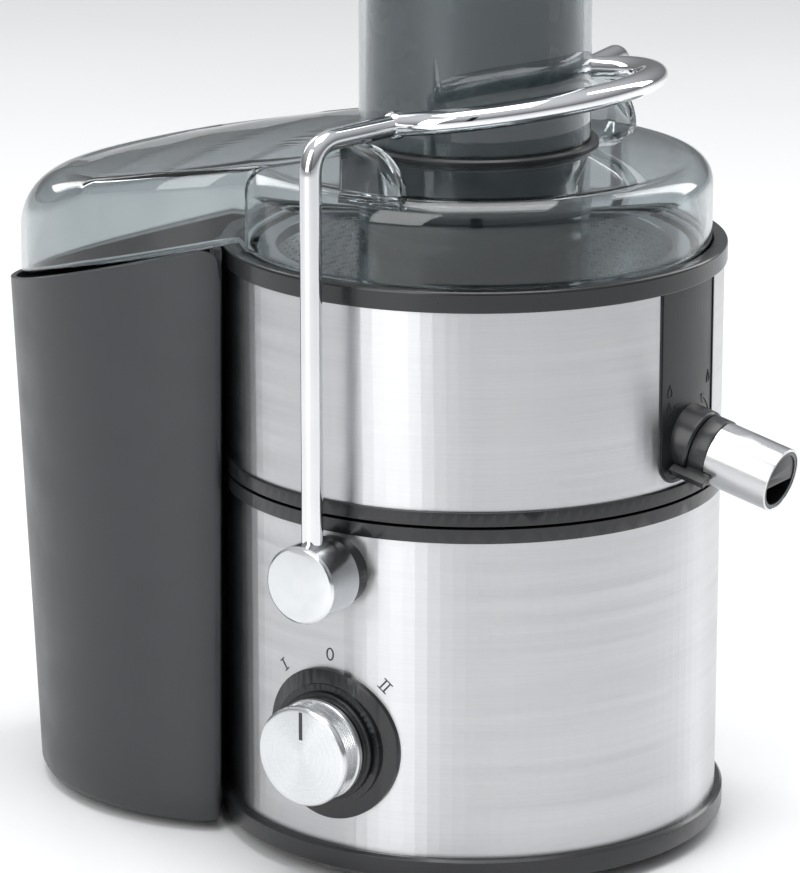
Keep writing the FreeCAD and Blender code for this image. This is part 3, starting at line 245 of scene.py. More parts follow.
def plain_metal(name, dark, light, roughness, size_mm=6.0, bump_mm=0.004):
    """Metal with a slightly uneven polish."""
    material, tree, here = new_material(name)
    cloud = noise(tree, here, size_mm, 3.0)
    shader = add(tree, "ShaderNodeBsdfPrincipled", Metallic=1.0, Base_Color=tint(tree, cloud, dark, light),
                 Roughness=spread(tree, cloud, roughness * 0.8, roughness * 1.25),
                 Normal=bump(tree, cloud, bump_mm, 0.3))
    shade(tree, shader)
    return material


def clear_plastic(name, dark, light, roughness, ior=1.5):
    """Clear polycarbonate with a smoke tint, a polished surface and faint moulding waves."""
    material, tree, here = new_material(name)
    wave = noise(tree, here, 30.0, 1.0)
    shader = add(tree, "ShaderNodeBsdfPrincipled", Transmission_Weight=1.0, IOR=ior,
                 Base_Color=tint(tree, wave, dark, light),
                 Roughness=spread(tree, wave, roughness * 0.7, roughness * 1.3),
                 Normal=bump(tree, wave, 0.05, 0.2))
    shade(tree, shader)
    return material


def strainer_sheet(name):
    """Etched steel strainer: staggered round holes, drawn 1.6 mm apart so that they show, as near-black spots
    of painted shade on a whole sheet.
    """
    material, tree, here = new_material(name)
    holes = add(tree, "ShaderNodeTexVoronoi", {"feature": "F1"}, Vector=here, Scale=0.62, Randomness=0.15)
    # Painted shade: the holes are not cut; each one is coloured near black for the dark seen through it.
    painted_hole_shade = add(tree, "ShaderNodeMath", {"operation": "LESS_THAN"}, i0=holes.outputs["Distance"], i1=0.3)
    shader = add(tree, "ShaderNodeBsdfPrincipled", Metallic=1.0,
                 Base_Color=tint(tree, painted_hole_shade.outputs[0], "#d2d4d5", "#1d1f20"),
                 Roughness=spread(tree, holes.outputs["Distance"], 0.22, 0.4),
                 Normal=bump(tree, holes.outputs["Distance"], 0.1, 0.6))
    shade(tree, shader)
    return material


def laminations(name):
    """Stacked steel sheets of 0.5 mm, varnished, seen as level lines."""
    material, tree, here = new_material(name)
    sheets = add(tree, "ShaderNodeTexWave", {"bands_direction": "Z"}, Vector=here, Scale=0.32, Distortion=0.1)
    shader = add(tree, "ShaderNodeBsdfPrincipled", Metallic=0.8,
                 Base_Color=tint(tree, sheets.outputs["Fac"], "#3a3b3f", "#6a6c70"),
                 Roughness=spread(tree, sheets.outputs["Fac"], 0.35, 0.5),
                 Normal=bump(tree, sheets.outputs["Fac"], 0.05, 0.5))
    shade(tree, shader)
    return material


def wound_copper(name):
    """Enamelled copper wire, 0.6 mm thick, wound side by side."""
    material, tree, here = new_material(name)
    wires = add(tree, "ShaderNodeTexWave", {"bands_direction": "Z"}, Vector=here, Scale=0.27, Distortion=0.6,
                Detail=2.0)
    shader = add(tree, "ShaderNodeBsdfPrincipled", Metallic=1.0,
                 Base_Color=tint(tree, wires.outputs["Fac"], "#7a3f1e", "#c77a45"),
                 Roughness=spread(tree, wires.outputs["Fac"], 0.25, 0.4),
                 Normal=bump(tree, wires.outputs["Fac"], 0.2, 0.7))
    shade(tree, shader)
    return material


MATERIALS = {}


def build_materials():
    """Every finish of the juicer, under the name of what it is."""
    MATERIALS.update({
        # Satin black ABS of the rims and bowl: near black with a soft grey sheen.
        "black_abs": moulded_plastic("black ABS, satin moulded", "#131416", "#1c1d1f", 0.3, 0.5, 0.01,
                                     coat=0.2),
        # The same ABS with a finer grain: spout panel, collars and small mouldings.
        "fine_black": moulded_plastic("black ABS, fine grain", "#151618", "#1e2022", 0.34, 0.35, 0.012),
        # Dark grey polypropylene of the pulp container, softer in its sheen than the ABS.
        "container": moulded_plastic("dark grey polypropylene, satin moulded", "#2b2d30", "#35373a", 0.4,
                                     0.45, 0.012),
        # Matt rubber of the feet, pads, grommets and shaft seal.
        "rubber": moulded_plastic("black rubber, moulded", "#17181a", "#232426", 0.75, 0.8, 0.03),
        # Whitish silicone of the lid's and the spout's seals.
        "silicone": moulded_plastic("white silicone, moulded", "#c6c9ca", "#dcdedf", 0.5, 0.9, 0.02, 1.41),
        # Mid grey ABS of the basket's hub and the fan.
        "grey": moulded_plastic("grey ABS, satin moulded", "#7f8487", "#93989b", 0.4, 0.5, 0.01),
        # Cream nylon of the switch and the knob's shaft.
        "nylon": moulded_plastic("natural nylon, moulded", "#d2d1c9", "#e6e5df", 0.45, 0.7, 0.015),
        # Green lacquer of the circuit board.
        "circuit": moulded_plastic("green solder mask on glass fibre", "#14522b", "#1f6b3a", 0.35, 1.2, 0.02),
        # Dull black carbon of the motor's brushes.
        "carbon": moulded_plastic("pressed carbon", "#1a1a1b", "#2c2c2d", 0.6, 0.4, 0.03),
        # Grey ABS of the pusher, which shows through the smoke of the chute.
        "pusher": moulded_plastic("dark grey ABS, satin moulded", "#70787b", "#828a8d", 0.26, 0.6, 0.01,
                                  coat=0.4),
        # Sheet steel of the base and bowl, its highlights drawn upright by the level brushing.
        "cladding": brushed_steel("stainless steel, brushed round", "#d0d1d2", "#c5c6c8", 0.33),
        # Ground steel tube of the spout's sleeve, brighter than the sheet.
        "sleeve": brushed_steel("stainless steel tube, ground", "#dadbdc", "#c4c5c7", 0.22),
        # Turned aluminium of the knob, with fan-shaped highlights on its face.
        "knob_metal": spun_aluminium("aluminium, spun", "Y"),
        # Satin aluminium of the arm's caps, the grater and the basket's ring.
        "cap_metal": plain_metal("aluminium, satin polished", "#cfd1d3", "#e6e7e9", 0.17),
        # Mirror chromium of the locking arm.
        "chrome": plain_metal("chromium plate, polished", "#d9dadc", "#e9eaec", 0.05, 20.0, 0.002),
        # Zinc-plated screws, bolts, pins and bearings.
        "zinc": plain_metal("zinc-plated steel", "#a9abab", "#c6c8c9", 0.3),
        # Cast frame of the motor, dull and a little rough.
        "cast": plain_metal("aluminium, die cast", "#8f9194", "#a9abad", 0.45, 1.2, 0.05),
        # Stacked sheets of the stator and armature.
        "lamination": laminations("varnished electrical steel"),
        # Wound wire of the coils.
        "copper": wound_copper("enamelled copper wire"),
        # Thin strainer sheet with its etched holes, shown as spots of painted shade.
        "strainer": strainer_sheet("stainless strainer sheet, etched"),
        # Clear lid with a faint smoke tint.
        "clear": clear_plastic("clear smoke polycarbonate, polished", "#c3cacc", "#d5dadb", 0.03),
        # Clear chute, smoked a little more than the lid.
        "chute": clear_plastic("dark smoke polycarbonate, polished", "#bfc6c8", "#cdd2d4", 0.03),
        # Dark grey ink of the dial's marks and the knob's line.
        "print": moulded_plastic("grey pad-printing ink", "#2c2d2f", "#3a3b3d", 0.5, 0.5, 0.01),
    })


# ---- meshes ---------------------------------------------------------------------------------------

def link(mesh, name):
    """A new object at the origin for a mesh."""
    piece = bpy.data.objects.new(name, mesh)
    bpy.context.scene.collection.objects.link(piece)
    return piece


def mesh_from_grids(name, grids, smooth_angle=35.0):
    """One piece from grids of points in millimetres, each (array of u by v by 3, closed in u, closed in v).

    Neighbouring points make quads; points that fall together are merged and normals turned outwards.
    """
    vertices, faces, start = [], [], 0
    for points, close_u, close_v in grids:
        count_u, count_v = points.shape[:2]
        index = start + np.arange(count_u * count_v).reshape(count_u, count_v)
        if close_u:
            index = np.vstack([index, index[:1]])
        if close_v:
            index = np.hstack([index, index[:, :1]])
        quads = np.stack([index[:-1, :-1], index[1:, :-1], index[1:, 1:], index[:-1, 1:]], axis=-1)
        vertices.append(points.reshape(-1, 3) * MM)
        faces.append(quads.reshape(-1, 4))
        start += count_u * count_v
    mesh = bpy.data.meshes.new(name)
    mesh.from_pydata(np.vstack(vertices).tolist(), [], np.vstack(faces).tolist())
    clean(mesh, smooth_angle)
    return link(mesh, name)


def clean(mesh, smooth_angle, turn=True):
    """Merge points that fall together, turn normals outwards and shade smooth up to an angle."""
    work = bmesh.new()
    work.from_mesh(mesh)
    bmesh.ops.remove_doubles(work, verts=work.verts, dist=1e-6)
    bmesh.ops.dissolve_degenerate(work, edges=work.edges, dist=1e-7)
    if turn:
        bmesh.ops.recalc_face_normals(work, faces=work.faces)
    work.to_mesh(mesh)
    work.free()
    mesh.shade_smooth()
    mesh.set_sharp_from_angle(angle=math.radians(smooth_angle))


def lathe(profile, segments=160):
    """Points of a profile of (radius, height) carried round Z.

    The grid is closed in u, and in v when the profile is a loop.
    """
    angle = np.linspace(0.0, 2.0 * math.pi, segments, endpoint=False)[:, None]
    radius, height = np.array(profile, float).T
    return np.stack([radius * np.cos(angle), radius * np.sin(angle), height + 0.0 * angle], axis=-1)


def rounded(corners, radius, steps=5):
    """A closed profile whose corners each become a short parabola between their two sides."""
    corners = np.array(corners, float)
    before = np.roll(corners, 1, axis=0) - corners
    after = np.roll(corners, -1, axis=0) - corners
    reach_in = np.minimum(radius, np.linalg.norm(before, axis=1) * 0.45)[:, None]
    reach_out = np.minimum(radius, np.linalg.norm(after, axis=1) * 0.45)[:, None]
    start = corners + before / np.linalg.norm(before, axis=1)[:, None] * reach_in
    end = corners + after / np.linalg.norm(after, axis=1)[:, None] * reach_out
    t = np.linspace(0.0, 1.0, steps)[None, :, None]
    curve = (1 - t) ** 2 * start[:, None] + 2 * t * (1 - t) * corners[:, None] + t ** 2 * end[:, None]
    return curve.reshape(-1, 2)


def towards_front(points, height):
    """Turn points built about Z so that their axis runs to the front (-Y) at this height."""
    return np.stack([points[..., 0], -points[..., 2], height + points[..., 1]], axis=-1)


def tube(path, wide, high, across, segments=32):
    """An elliptical section carried along a path; across is the width direction at every point."""
    along = np.gradient(path, axis=0)
    along /= np.linalg.norm(along, axis=1)[:, None]
    side = across - np.sum(across * along, axis=1)[:, None] * along
    side /= np.linalg.norm(side, axis=1)[:, None]
    up = np.cross(side, along)
    angle = np.linspace(0.0, 2.0 * math.pi, segments, endpoint=False)
    ring = (wide[:, None, None] * np.cos(angle)[None, :, None] * side[:, None]
            + high[:, None, None] * np.sin(angle)[None, :, None] * up[:, None])
    body = path[:, None] + ring
    first = np.repeat(path[:1, None], segments, axis=1)
    last = np.repeat(path[-1:, None], segments, axis=1)
    return np.concatenate([first, body, last], axis=0)


def dress(piece, node, material, stands_for=True, also=()):
    """Give a new piece its finish and body, and let it stand for its CAD nodes."""
    piece.data.materials.clear()
    piece.data.materials.append(MATERIALS[material])
    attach(piece, BODY_OF[node])
    if stands_for:
        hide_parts(node, *also)
    return piece


def finished_copy(node, material, bevel_mm=0.4, smooth_angle=28.0):
    """A merged copy of a CAD node with softened edges, standing for the node."""
    mesh = frame["nodes"][node].data.copy()
    mesh.name = node + "_finished"
    clean(mesh, smooth_angle, turn=False)
    piece = link(mesh, node + "_finished")
    if bevel_mm:
        bevel = piece.modifiers.new("softened edges", "BEVEL")
        bevel.width = bevel_mm * MM
        bevel.segments = 2
        bevel.limit_method = "ANGLE"
        bevel.angle_limit = math.radians(40.0)
        bevel.harden_normals = True
    return dress(piece, node, material)


# ---- shapes of the visible pieces -----------------------------------------------------------------

def lid_outline(angle, sizes):
    """Distance from the axis to the lid's edge in plan.

    It is the larger of the dome's circle and the far side of the pulp cover's ellipse.
    """
    long_axis, short_axis = sizes.cover_length / MM, sizes.cover_width / MM
    centre = sizes.container_distance / MM
    a = (np.cos(angle) / long_axis) ** 2 + (np.sin(angle) / short_axis) ** 2
    b = 2.0 * centre * np.cos(angle) / long_axis ** 2
    c = (centre / long_axis) ** 2 - 1.0
    root = b * b - 4.0 * a * c
    crossing = (-b + np.sqrt(np.maximum(root, 0.0))) / (2.0 * a)
    far = np.where((root > 0.0) & (np.cos(angle) < 0.0), crossing, 0.0)
    return np.maximum(far, sizes.lid_radius / MM)


def lid_top_height(x, y, sizes):
    """Height of the lid's top: a shallow cone for the dome, blended into the pulp cover's roof.

    The roof falls towards the far end and is cambered across; the blend runs inside the cover's ellipse.
    """
    crown = sizes.lid_crown / MM
    reach = np.hypot(x, y)
    dome = crown - (reach - CHUTE_RADIUS) * DOME_FALL
    fall = np.interp(-x, [60.0, 90.0, 121.0, 150.0, 176.0, 190.0], [0.0, 3.6, 9.5, 16.2, 23.6, 28.0])
    camber = 3.0 * (y / 60.0) ** 2
    roof = crown - fall - camber
    inside = 1.0 - ((x + sizes.container_distance / MM) / (sizes.cover_length / MM)) ** 2
    inside = (inside - (y / (sizes.cover_width / MM)) ** 2) * 42.0
    share = np.clip(inside / 7.0, 0.0, 1.0)
    share = share * share * (3.0 - 2.0 * share)
    return dome + (roof - dome) * np.where(x < 0.0, share, 0.0)


def rim_plane(x):
    """Height of the slanted plane between the container's rim and the pulp cover."""
    return RIM_HEIGHT + RIM_SLOPE * (x + BODY_RADIUS)


def lid_surface(sizes):
    """Grid over the lid by angle and distance: the top, the edge as a quarter ellipse, and the wall."""
    count = 720
    angle = np.linspace(0.0, 2.0 * math.pi, count, endpoint=False)
    edge = lid_outline(angle, sizes)
    beyond = np.clip((edge - sizes.lid_radius / MM) / 18.0, 0.0, 1.0)
    far_end = np.clip((edge - 150.0) / 40.0, 0.0, 1.0)
    bend = EDGE_ROUND - 1.5 * beyond + 20.0 * far_end
    drop = EDGE_ROUND - 1.5 * beyond + 21.0 * far_end
    start_reach = CHUTE_RADIUS + 0.1
    cosine, sine = np.cos(angle), np.sin(angle)
    rows = []
    for share in np.linspace(0.0, 1.0, 28):
        reach = start_reach + (edge - bend - start_reach) * share
        x, y = reach * cosine, reach * sine
        rows.append(np.stack([x, y, lid_top_height(x, y, sizes)], axis=-1))
    top = rows[-1][:, 2]
    for turn in np.linspace(0.0, math.pi / 2.0, 12)[1:]:
        reach = edge - bend + bend * math.sin(turn)
        height = top - drop * (1.0 - math.cos(turn))
        rows.append(np.stack([reach * cosine, reach * sine, height], axis=-1))
    x, y, start = rows[-1].T
    on_cover = edge > sizes.lid_radius / MM + 0.05
    low = np.where(on_cover, rim_plane(x) + 0.4, LID_EDGE)
    for share in np.linspace(0.0, 1.0, 8)[1:]:
        rows.append(np.stack([x, y, start + (low - start) * share], axis=-1))
    return np.stack(rows, axis=1)


def container_outline(share, height, inset, sizes):
    """Plan of the container at a height: a tapering ellipse, hollowed out by the round of the body.

    share runs round the ellipse up to BIN_NEAR_START and then back along the hollow, and inset moves both
    walls inwards. Halving steps find the angle where the two curves meet.
    """
    lift = np.clip((height - BIN_FLOOR) / 246.6, 0.0, 1.0)
    centre = -103.0 - 4.0 * lift
    long_axis = BIN_RADIUS + 9.4 * lift - inset
    short_axis = BIN_RADIUS + 1.5 * lift - inset
    hollow = BIN_HOLLOW - 2.8 * (height - 2.0) / 270.0 + inset
    low = np.zeros_like(height) + 0.05
    high = np.zeros_like(height) + math.pi * 0.9
    for _ in range(40):
        middle = (low + high) / 2.0
        x = centre + long_axis * np.cos(middle)
        y = short_axis * np.sin(middle)
        outside = x * x + y * y > hollow * hollow
        high = np.where(outside, middle, high)
        low = np.where(outside, low, middle)
    corner = high
    corner_angle = np.arctan2(short_axis * np.sin(corner), centre + long_axis * np.cos(corner))
    around = np.clip(share / BIN_NEAR_START, 0.0, 1.0)
    turn = corner + (2.0 * math.pi - 2.0 * corner) * around
    back = np.clip((share - BIN_NEAR_START) / (1.0 - BIN_NEAR_START), 0.0, 1.0)
    near = -corner_angle + 2.0 * (corner_angle - math.pi) * back
    far_part = share <= BIN_NEAR_START
    x = np.where(far_part, centre + long_axis * np.cos(turn), hollow * np.cos(near))
    y = np.where(far_part, short_axis * np.sin(turn), hollow * np.sin(near))
    return x, y


def container_loop(height, inset, sizes):
    """One closed loop of the container's plan at a height, its two sharp corners rounded by averaging."""
    far_part = np.linspace(0.0, BIN_NEAR_START, 280, endpoint=False)
    near_part = np.linspace(BIN_NEAR_START, 1.0, 140, endpoint=False)
    share = np.concatenate([far_part, near_part])
    x, y = container_outline(share, height * np.ones_like(share), inset, sizes)
    for _ in range(14):
        near_corner = (np.abs(share - BIN_NEAR_START) < 0.02) | (share < 0.02) | (share > 0.985)
        smooth_x = (np.roll(x, 1) + np.roll(x, -1)) / 2.0
        smooth_y = (np.roll(y, 1) + np.roll(y, -1)) / 2.0
        x = np.where(near_corner, smooth_x, x)
        y = np.where(near_corner, smooth_y, y)
    return x, y, share


def container_surface(sizes):
    """Grid of the container: under the floor, up the outside, over the slanted rim and down the inside.

    The rim dips to a quarter circle at the two corners beside the body.
    """
    def ring(height, inset, squeeze=0.0):
        x, y, share = container_loop(height, inset, sizes)
        x = x + (-128.0 - x) * squeeze
        y = y * (1.0 - squeeze)
        return x, y, share

    rim_x, _, share = ring(BIN_STRAIGHT_HIGH, 0.0)
    way_round = 770.0
    to_corner = np.minimum(np.abs(share - BIN_NEAR_START), np.minimum(share, 1.0 - share)) * way_round
    dip = RIM_CORNER - np.sqrt(RIM_CORNER ** 2 - np.clip(RIM_CORNER - to_corner, 0.0, RIM_CORNER) ** 2)
    top = rim_plane(rim_x) - dip
    rows = []
    foot = ((BIN_FLOOR, 0.0, 1.0), (BIN_FLOOR, 5.0, 0.0), (3.4, 2.6, 0.0), (4.6, 0.8, 0.0),
            (BIN_STRAIGHT_LOW, 0.0, 0.0))
    for height, inset, squeeze in foot:
        x, y, _ = ring(height, inset, squeeze)
        rows.append(np.stack([x, y, np.full_like(x, height)], axis=-1))
    for inset, shares in ((0.0, np.linspace(0.0, 1.0, 22)[1:]), (BIN_WALL, np.linspace(1.0, 0.0, 22))):
        for part in shares:
            height = BIN_STRAIGHT_LOW + (BIN_STRAIGHT_HIGH - BIN_STRAIGHT_LOW) * part
            x, y, _ = ring(height, inset)
            rows.append(np.stack([x, y, BIN_STRAIGHT_LOW + (top - BIN_STRAIGHT_LOW) * part], axis=-1))
    for height, inset, squeeze in ((5.4, 4.5, 0.0), (5.2, 7.0, 0.0), (5.2, 7.0, 1.0)):
        x, y, _ = ring(height, inset, squeeze)
        rows.append(np.stack([x, y, np.full_like(x, height)], axis=-1))
    return np.stack(rows, axis=1)


def arm_grids(sizes):
    """Three tubes of the locking arm: two round legs bent along parabolas, and the flattened loop.

    The loop follows a half ellipse on a slope, and a ball covers each place where it meets a leg.
    """
    reach, top = sizes.arm_distance / MM, sizes.arm_height / MM
    crimp = np.array([LOOP_START, -LOOP_HALF_WIDTH, top + LOOP_RISE])
    corner = np.array([0.0, -reach, top])
    foot = np.array([0.0, -reach, PIVOT_HEIGHT + 12.0])
    inward = (crimp - corner) / np.linalg.norm(crimp - corner)
    start, end = corner - np.array([0.0, 0.0, ROD_BEND]), corner + inward * ROD_BEND
    t = np.linspace(0.0, 1.0, 24)[:, None]
    curve = (1 - t) ** 2 * start + 2 * t * (1 - t) * corner + t ** 2 * end
    upright, level = np.linspace(foot, start, 12), np.linspace(end, crimp + inward * 2.0, 8)
    leg = np.vstack([upright[:-1], curve, level[1:]])
    across = np.tile([1.0, 0.0, 0.0], (len(leg), 1))
    rod = np.full(len(leg), ROD_RADIUS)
    front = tube(leg, rod, rod, across)
    rise = math.tan(math.radians(LOOP_SLOPE_DEGREES))
    angle = np.linspace(-math.pi / 2.0, math.pi / 2.0, 140)
    ahead, aside = LOOP_DEPTH * np.cos(angle), LOOP_HALF_WIDTH * np.sin(angle)
    loop = np.stack([LOOP_START + ahead, aside, crimp[2] + ahead * rise], axis=-1)
    from_end = np.minimum(angle + math.pi / 2.0, math.pi / 2.0 - angle)
    grow = np.clip(from_end / 0.32, 0.0, 1.0)
    grow = grow * grow * (3.0 - 2.0 * grow)
    along = np.gradient(loop, axis=0)
    normal = np.array([-rise, 0.0, 1.0]) / math.hypot(rise, 1.0)
    band = tube(loop, 4.4 + 1.6 * grow, 4.1 + 0.4 * grow, np.cross(along, normal))
    half_turn = np.linspace(0.0, math.pi, 16)
    knuckle = lathe(KNUCKLE_RADIUS * np.stack([np.sin(half_turn), np.cos(half_turn)], axis=-1), 32) + crimp
    grids = [(front, False, True), (band, False, True), (knuckle, True, False)]
    mirror = np.array([1.0, -1.0, 1.0])
    return grids + [(front * mirror, False, True), (knuckle * mirror, True, False)]


def knob_grid(sizes):
    """Knob by angle and profile; two crossing helices cut the knurl, as a product of two sine waves."""
    face, back = KNOB_FACE, KNOB_BACK
    radius = sizes.knob_diameter / MM / 2.0
    smooth_front = [(0.0, face), (radius - 1.6, face), (radius - 0.9, face - 0.15),
                    (radius - 0.25, face - 0.6), (radius, face - 1.2), (radius, face - 2.4),
                    (radius - 0.5, face - 2.8)]
    knurled = [(radius - 0.35, z) for z in np.linspace(face - 3.0, back + 2.8, KNURL_ROWS)]
    smooth_back = [(radius - 0.5, back + 2.6), (radius, back + 2.2), (radius, back + 0.4),
                   (radius - 0.5, back), (radius - 3.0, back), (0.0, back)]
    profile = np.array(smooth_front + knurled + smooth_back)
    segments = 720
    points = lathe(profile, segments)
    around = KNURL_TURNS * np.linspace(0.0, 2.0 * math.pi, segments, endpoint=False)[:, None]
    along = KNURL_LEAD * profile[:, 1][None, :]
    wave = np.sin(around + along) * np.sin(around - along)
    row = np.arange(len(profile))[None, :]
    cut_here = (row >= len(smooth_front)) & (row < len(smooth_front) + KNURL_ROWS)
    scale = 1.0 + np.where(cut_here, (wave - 1.0) * KNURL_DEPTH / radius, 0.0)
    points[..., 0] *= scale
    points[..., 1] *= scale
    return towards_front(points, KNOB_HEIGHT) + np.array([KNOB_X, 0.0, 0.0])


def on_body(across, height, radius, facing=0.0):
    """A point on the round of the body, this far along it from the direction faced (0 is the front)."""
    angle = facing + across / radius
    return np.stack([radius * np.sin(angle), -radius * np.cos(angle), height], axis=-1)


def mark(strokes, centre, turn, radius, facing=0.0, rise=0.06):
    """Flat strokes of a mark wrapped on the body; each stroke is a grid of (across, up) points."""
    cosine, sine = math.cos(turn), math.sin(turn)
    grids = []
    for stroke in strokes:
        across = centre[0] + stroke[..., 0] * cosine - stroke[..., 1] * sine
        height = centre[1] + stroke[..., 0] * sine + stroke[..., 1] * cosine
        outer = on_body(across, height, radius + rise, facing)
        inner = on_body(across, height, radius - 0.02, facing)
        grids.append((np.concatenate([outer, inner[:, ::-1]], axis=1), False, True))
    return grids


def bar_stroke(x0, x1, y0, y1):
    """A straight stroke as a small grid."""
    x, y = np.meshgrid(np.linspace(x0, x1, 5), np.linspace(y0, y1, 5), indexing="ij")
    return np.stack([x, y], axis=-1)


def numeral_strokes(count):
    """A Roman one or two with serifs."""
    strokes = [bar_stroke(-0.85 * count - 0.5, 0.85 * count + 0.5, y, y + 0.45) for y in (-2.4, 1.95)]
    places = [0.0] if count == 1 else [-0.95, 0.95]
    return strokes + [bar_stroke(x - 0.33, x + 0.33, -1.95, 1.95) for x in places]


def arc_stroke(radius, first, last, width):
    """A curved stroke round the origin, between two angles in degrees."""
    angle, reach = np.meshgrid(np.radians(np.linspace(first, last, 24)),
                               np.linspace(radius + width / 2.0, radius - width / 2.0, 3), indexing="ij")
    return np.stack([reach * np.cos(angle), reach * np.sin(angle)], axis=-1)


def drop_stroke(x, y, size, width):
    """The outline of a falling drop: round below and drawn to a point above."""
    angle, grow = np.meshgrid(np.linspace(0.0, 2.0 * math.pi, 41), np.linspace(size, size - width, 3),
                              indexing="ij")
    narrow = np.sin(angle / 2.0) ** 1.5
    return np.stack([x + grow * 0.75 * np.sin(angle) * narrow, y + grow * np.cos(angle)], axis=-1)


def panel_border():
    """The raised edge down both sides of the spout panel and round its lower corners."""
    corner, half, knee, top = 8.4, 19.0, 159.0, 222.6
    rows = []
    for inset in (0.0, 0.45, 0.9):
        turn = np.radians(np.linspace(180.0, 270.0, 14))
        bend = np.stack([-(half - corner) + (corner - inset) * np.cos(turn),
                         knee + (corner - inset) * np.sin(turn)], axis=-1)
        left = np.vstack([[[-half + inset, z] for z in np.linspace(top, knee + 1.0, 8)], bend])
        rows.append(np.vstack([left, (left * [-1.0, 1.0])[::-1]]))
    return np.stack(rows, axis=1)


def zero_stroke():
    """An upright oval ring for the off mark."""
    angle = np.linspace(0.0, 2.0 * math.pi, 49)[:, None]
    wide = np.linspace(1.05, 1.75, 3)[None, :]
    tall = np.linspace(1.95, 2.55, 3)[None, :]
    return np.stack([wide * np.cos(angle), tall * np.sin(angle)], axis=-1)


# ---- settings -------------------------------------------------------------------------------------

class JuicerSizes(bpy.types.PropertyGroup):
    """Main sizes of the visible pieces, with the frame's own sizes as defaults."""

    lid_radius: bpy.props.FloatProperty(
        name="Lid radius", description="Radius of the lid's dome", default=0.0902, unit="LENGTH")
    lid_crown: bpy.props.FloatProperty(
        name="Lid crown", description="Height of the lid where the chute leaves it", default=0.2668,
        unit="LENGTH")
    cover_length: bpy.props.FloatProperty(
        name="Cover half length", description="Half length of the pulp cover", default=0.0896, unit="LENGTH")
    cover_width: bpy.props.FloatProperty(
        name="Cover half width", description="Half width of the pulp cover", default=0.0835, unit="LENGTH")
    container_distance: bpy.props.FloatProperty(
        name="Container distance", description="From the axis to the middle of the pulp cover", default=0.107,
        unit="LENGTH")
    arm_distance: bpy.props.FloatProperty(
        name="Arm distance", description="From the axis to each leg of the locking arm", default=0.1105,
        unit="LENGTH")
    arm_height: bpy.props.FloatProperty(
        name="Arm height", description="Height of the arm's bend", default=0.2845, unit="LENGTH")
    knob_diameter: bpy.props.FloatProperty(
        name="Knob diameter", description="Diameter of the aluminium knob", default=0.0384, unit="LENGTH")


class JuicerStage(bpy.types.PropertyGroup):
    """Floor, light and camera."""

    floor_colour: bpy.props.FloatVectorProperty(
        name="Floor colour", description="Colour of the floor", subtype="COLOR", default=(0.86, 0.86, 0.86))
    lens: bpy.props.FloatProperty(
        name="Focal length", description="Focal length of the camera in millimetres", default=180.9)
    azimuth: bpy.props.FloatProperty(
        name="Azimuth", description="How far the camera stands round to the right of the front",
        subtype="ANGLE", default=math.radians(33.0))
    pitch: bpy.props.FloatProperty(
        name="Pitch", description="How far the camera looks down", subtype="ANGLE",
        default=math.radians(15.3))
    distance: bpy.props.FloatProperty(
        name="Distance", description="From the camera to the juicer's axis", default=1.687, unit="LENGTH")


# ---- operators: one for each piece or group of like pieces ------------------------------------------

class JuicerOperator:
    """What all the operators share."""

    bl_options = {"REGISTER", "UNDO"}

    def sizes(self, context):
        """The sizes set in the scene."""
        return context.scene.juicer_sizes


class JUICER_OT_materials(JuicerOperator, bpy.types.Operator):
    """Make every finish of the juicer"""

    bl_idname = "juicer.materials"
    bl_label = "Materials"

    def execute(self, context):
        build_materials()
        return {"FINISHED"}


class JUICER_OT_base(JuicerOperator, bpy.types.Operator):
    """Finish the motor base: housing, steel band, bottom cover, feet, screws and cord inlet"""

    bl_idname = "juicer.base"
    bl_label = "Motor base"

    def execute(self, context):
        finished_copy("base_housing", "black_abs", 0.5)
        finished_copy("base_cladding", "cladding", 0.0)
        finished_copy("bottom_cover", "black_abs", 0.5)
        finished_copy("rubber_feet", "rubber", 0.4)
        finished_copy("cover_screws", "zinc", 0.2)
        finished_copy("cord_inlet", "fine_black", 0.4)
        return {"FINISHED"}


class JUICER_OT_knob(JuicerOperator, bpy.types.Operator):
    """Build the speed knob with its knurled grip, pointer, collar, shaft and escutcheon"""

    bl_idname = "juicer.knob"
    bl_label = "Speed knob"

    def execute(self, context):
        cap = mesh_from_grids("speed_knob", [(knob_grid(self.sizes(context)), True, False)], 38.0)
        dress(cap, "knob_cap", "knob_metal")
        pointer = bar_stroke(-0.75, 0.75, 6.6, 17.4) + np.array([KNOB_X, KNOB_HEIGHT])
        before_face = np.full(pointer.shape[:2], -KNOB_FACE - 0.06)
        front = np.stack([pointer[..., 0], before_face, pointer[..., 1]], axis=-1)
        back = front + np.array([0.0, 0.1, 0.0])
        line_grid = np.concatenate([front, back[:, ::-1]], axis=1)
        line = mesh_from_grids("knob_pointer_line", [(line_grid, False, True)])
        dress(line, "knob_cap", "print", stands_for=False)
        finished_copy("knob_collar", "fine_black", 0.3)
        finished_copy("knob_shaft", "nylon", 0.2)
        finished_copy("escutcheon", "black_abs", 0.5)
        return {"FINISHED"}


class JUICER_OT_marks(JuicerOperator, bpy.types.Operator):
    """Print the off mark and the two speed marks round the knob"""

    bl_idname = "juicer.marks"
    bl_label = "Dial marks"

    def execute(self, context):
        places = {"mark_zero": (0.0, [zero_stroke()]), "mark_one": (MARK_TURN_DEGREES, numeral_strokes(1)),
                  "mark_two": (-MARK_TURN_DEGREES, numeral_strokes(2))}
        for name, (turn_degrees, strokes) in places.items():
            turn = math.radians(turn_degrees)
            centre = (KNOB_X - MARK_REACH * math.sin(turn), KNOB_HEIGHT + MARK_REACH * math.cos(turn))
            piece = mesh_from_grids(name, mark(strokes, centre, turn, BODY_RADIUS))
            dress(piece, "base_cladding", "print", stands_for=False)
        return {"FINISHED"}


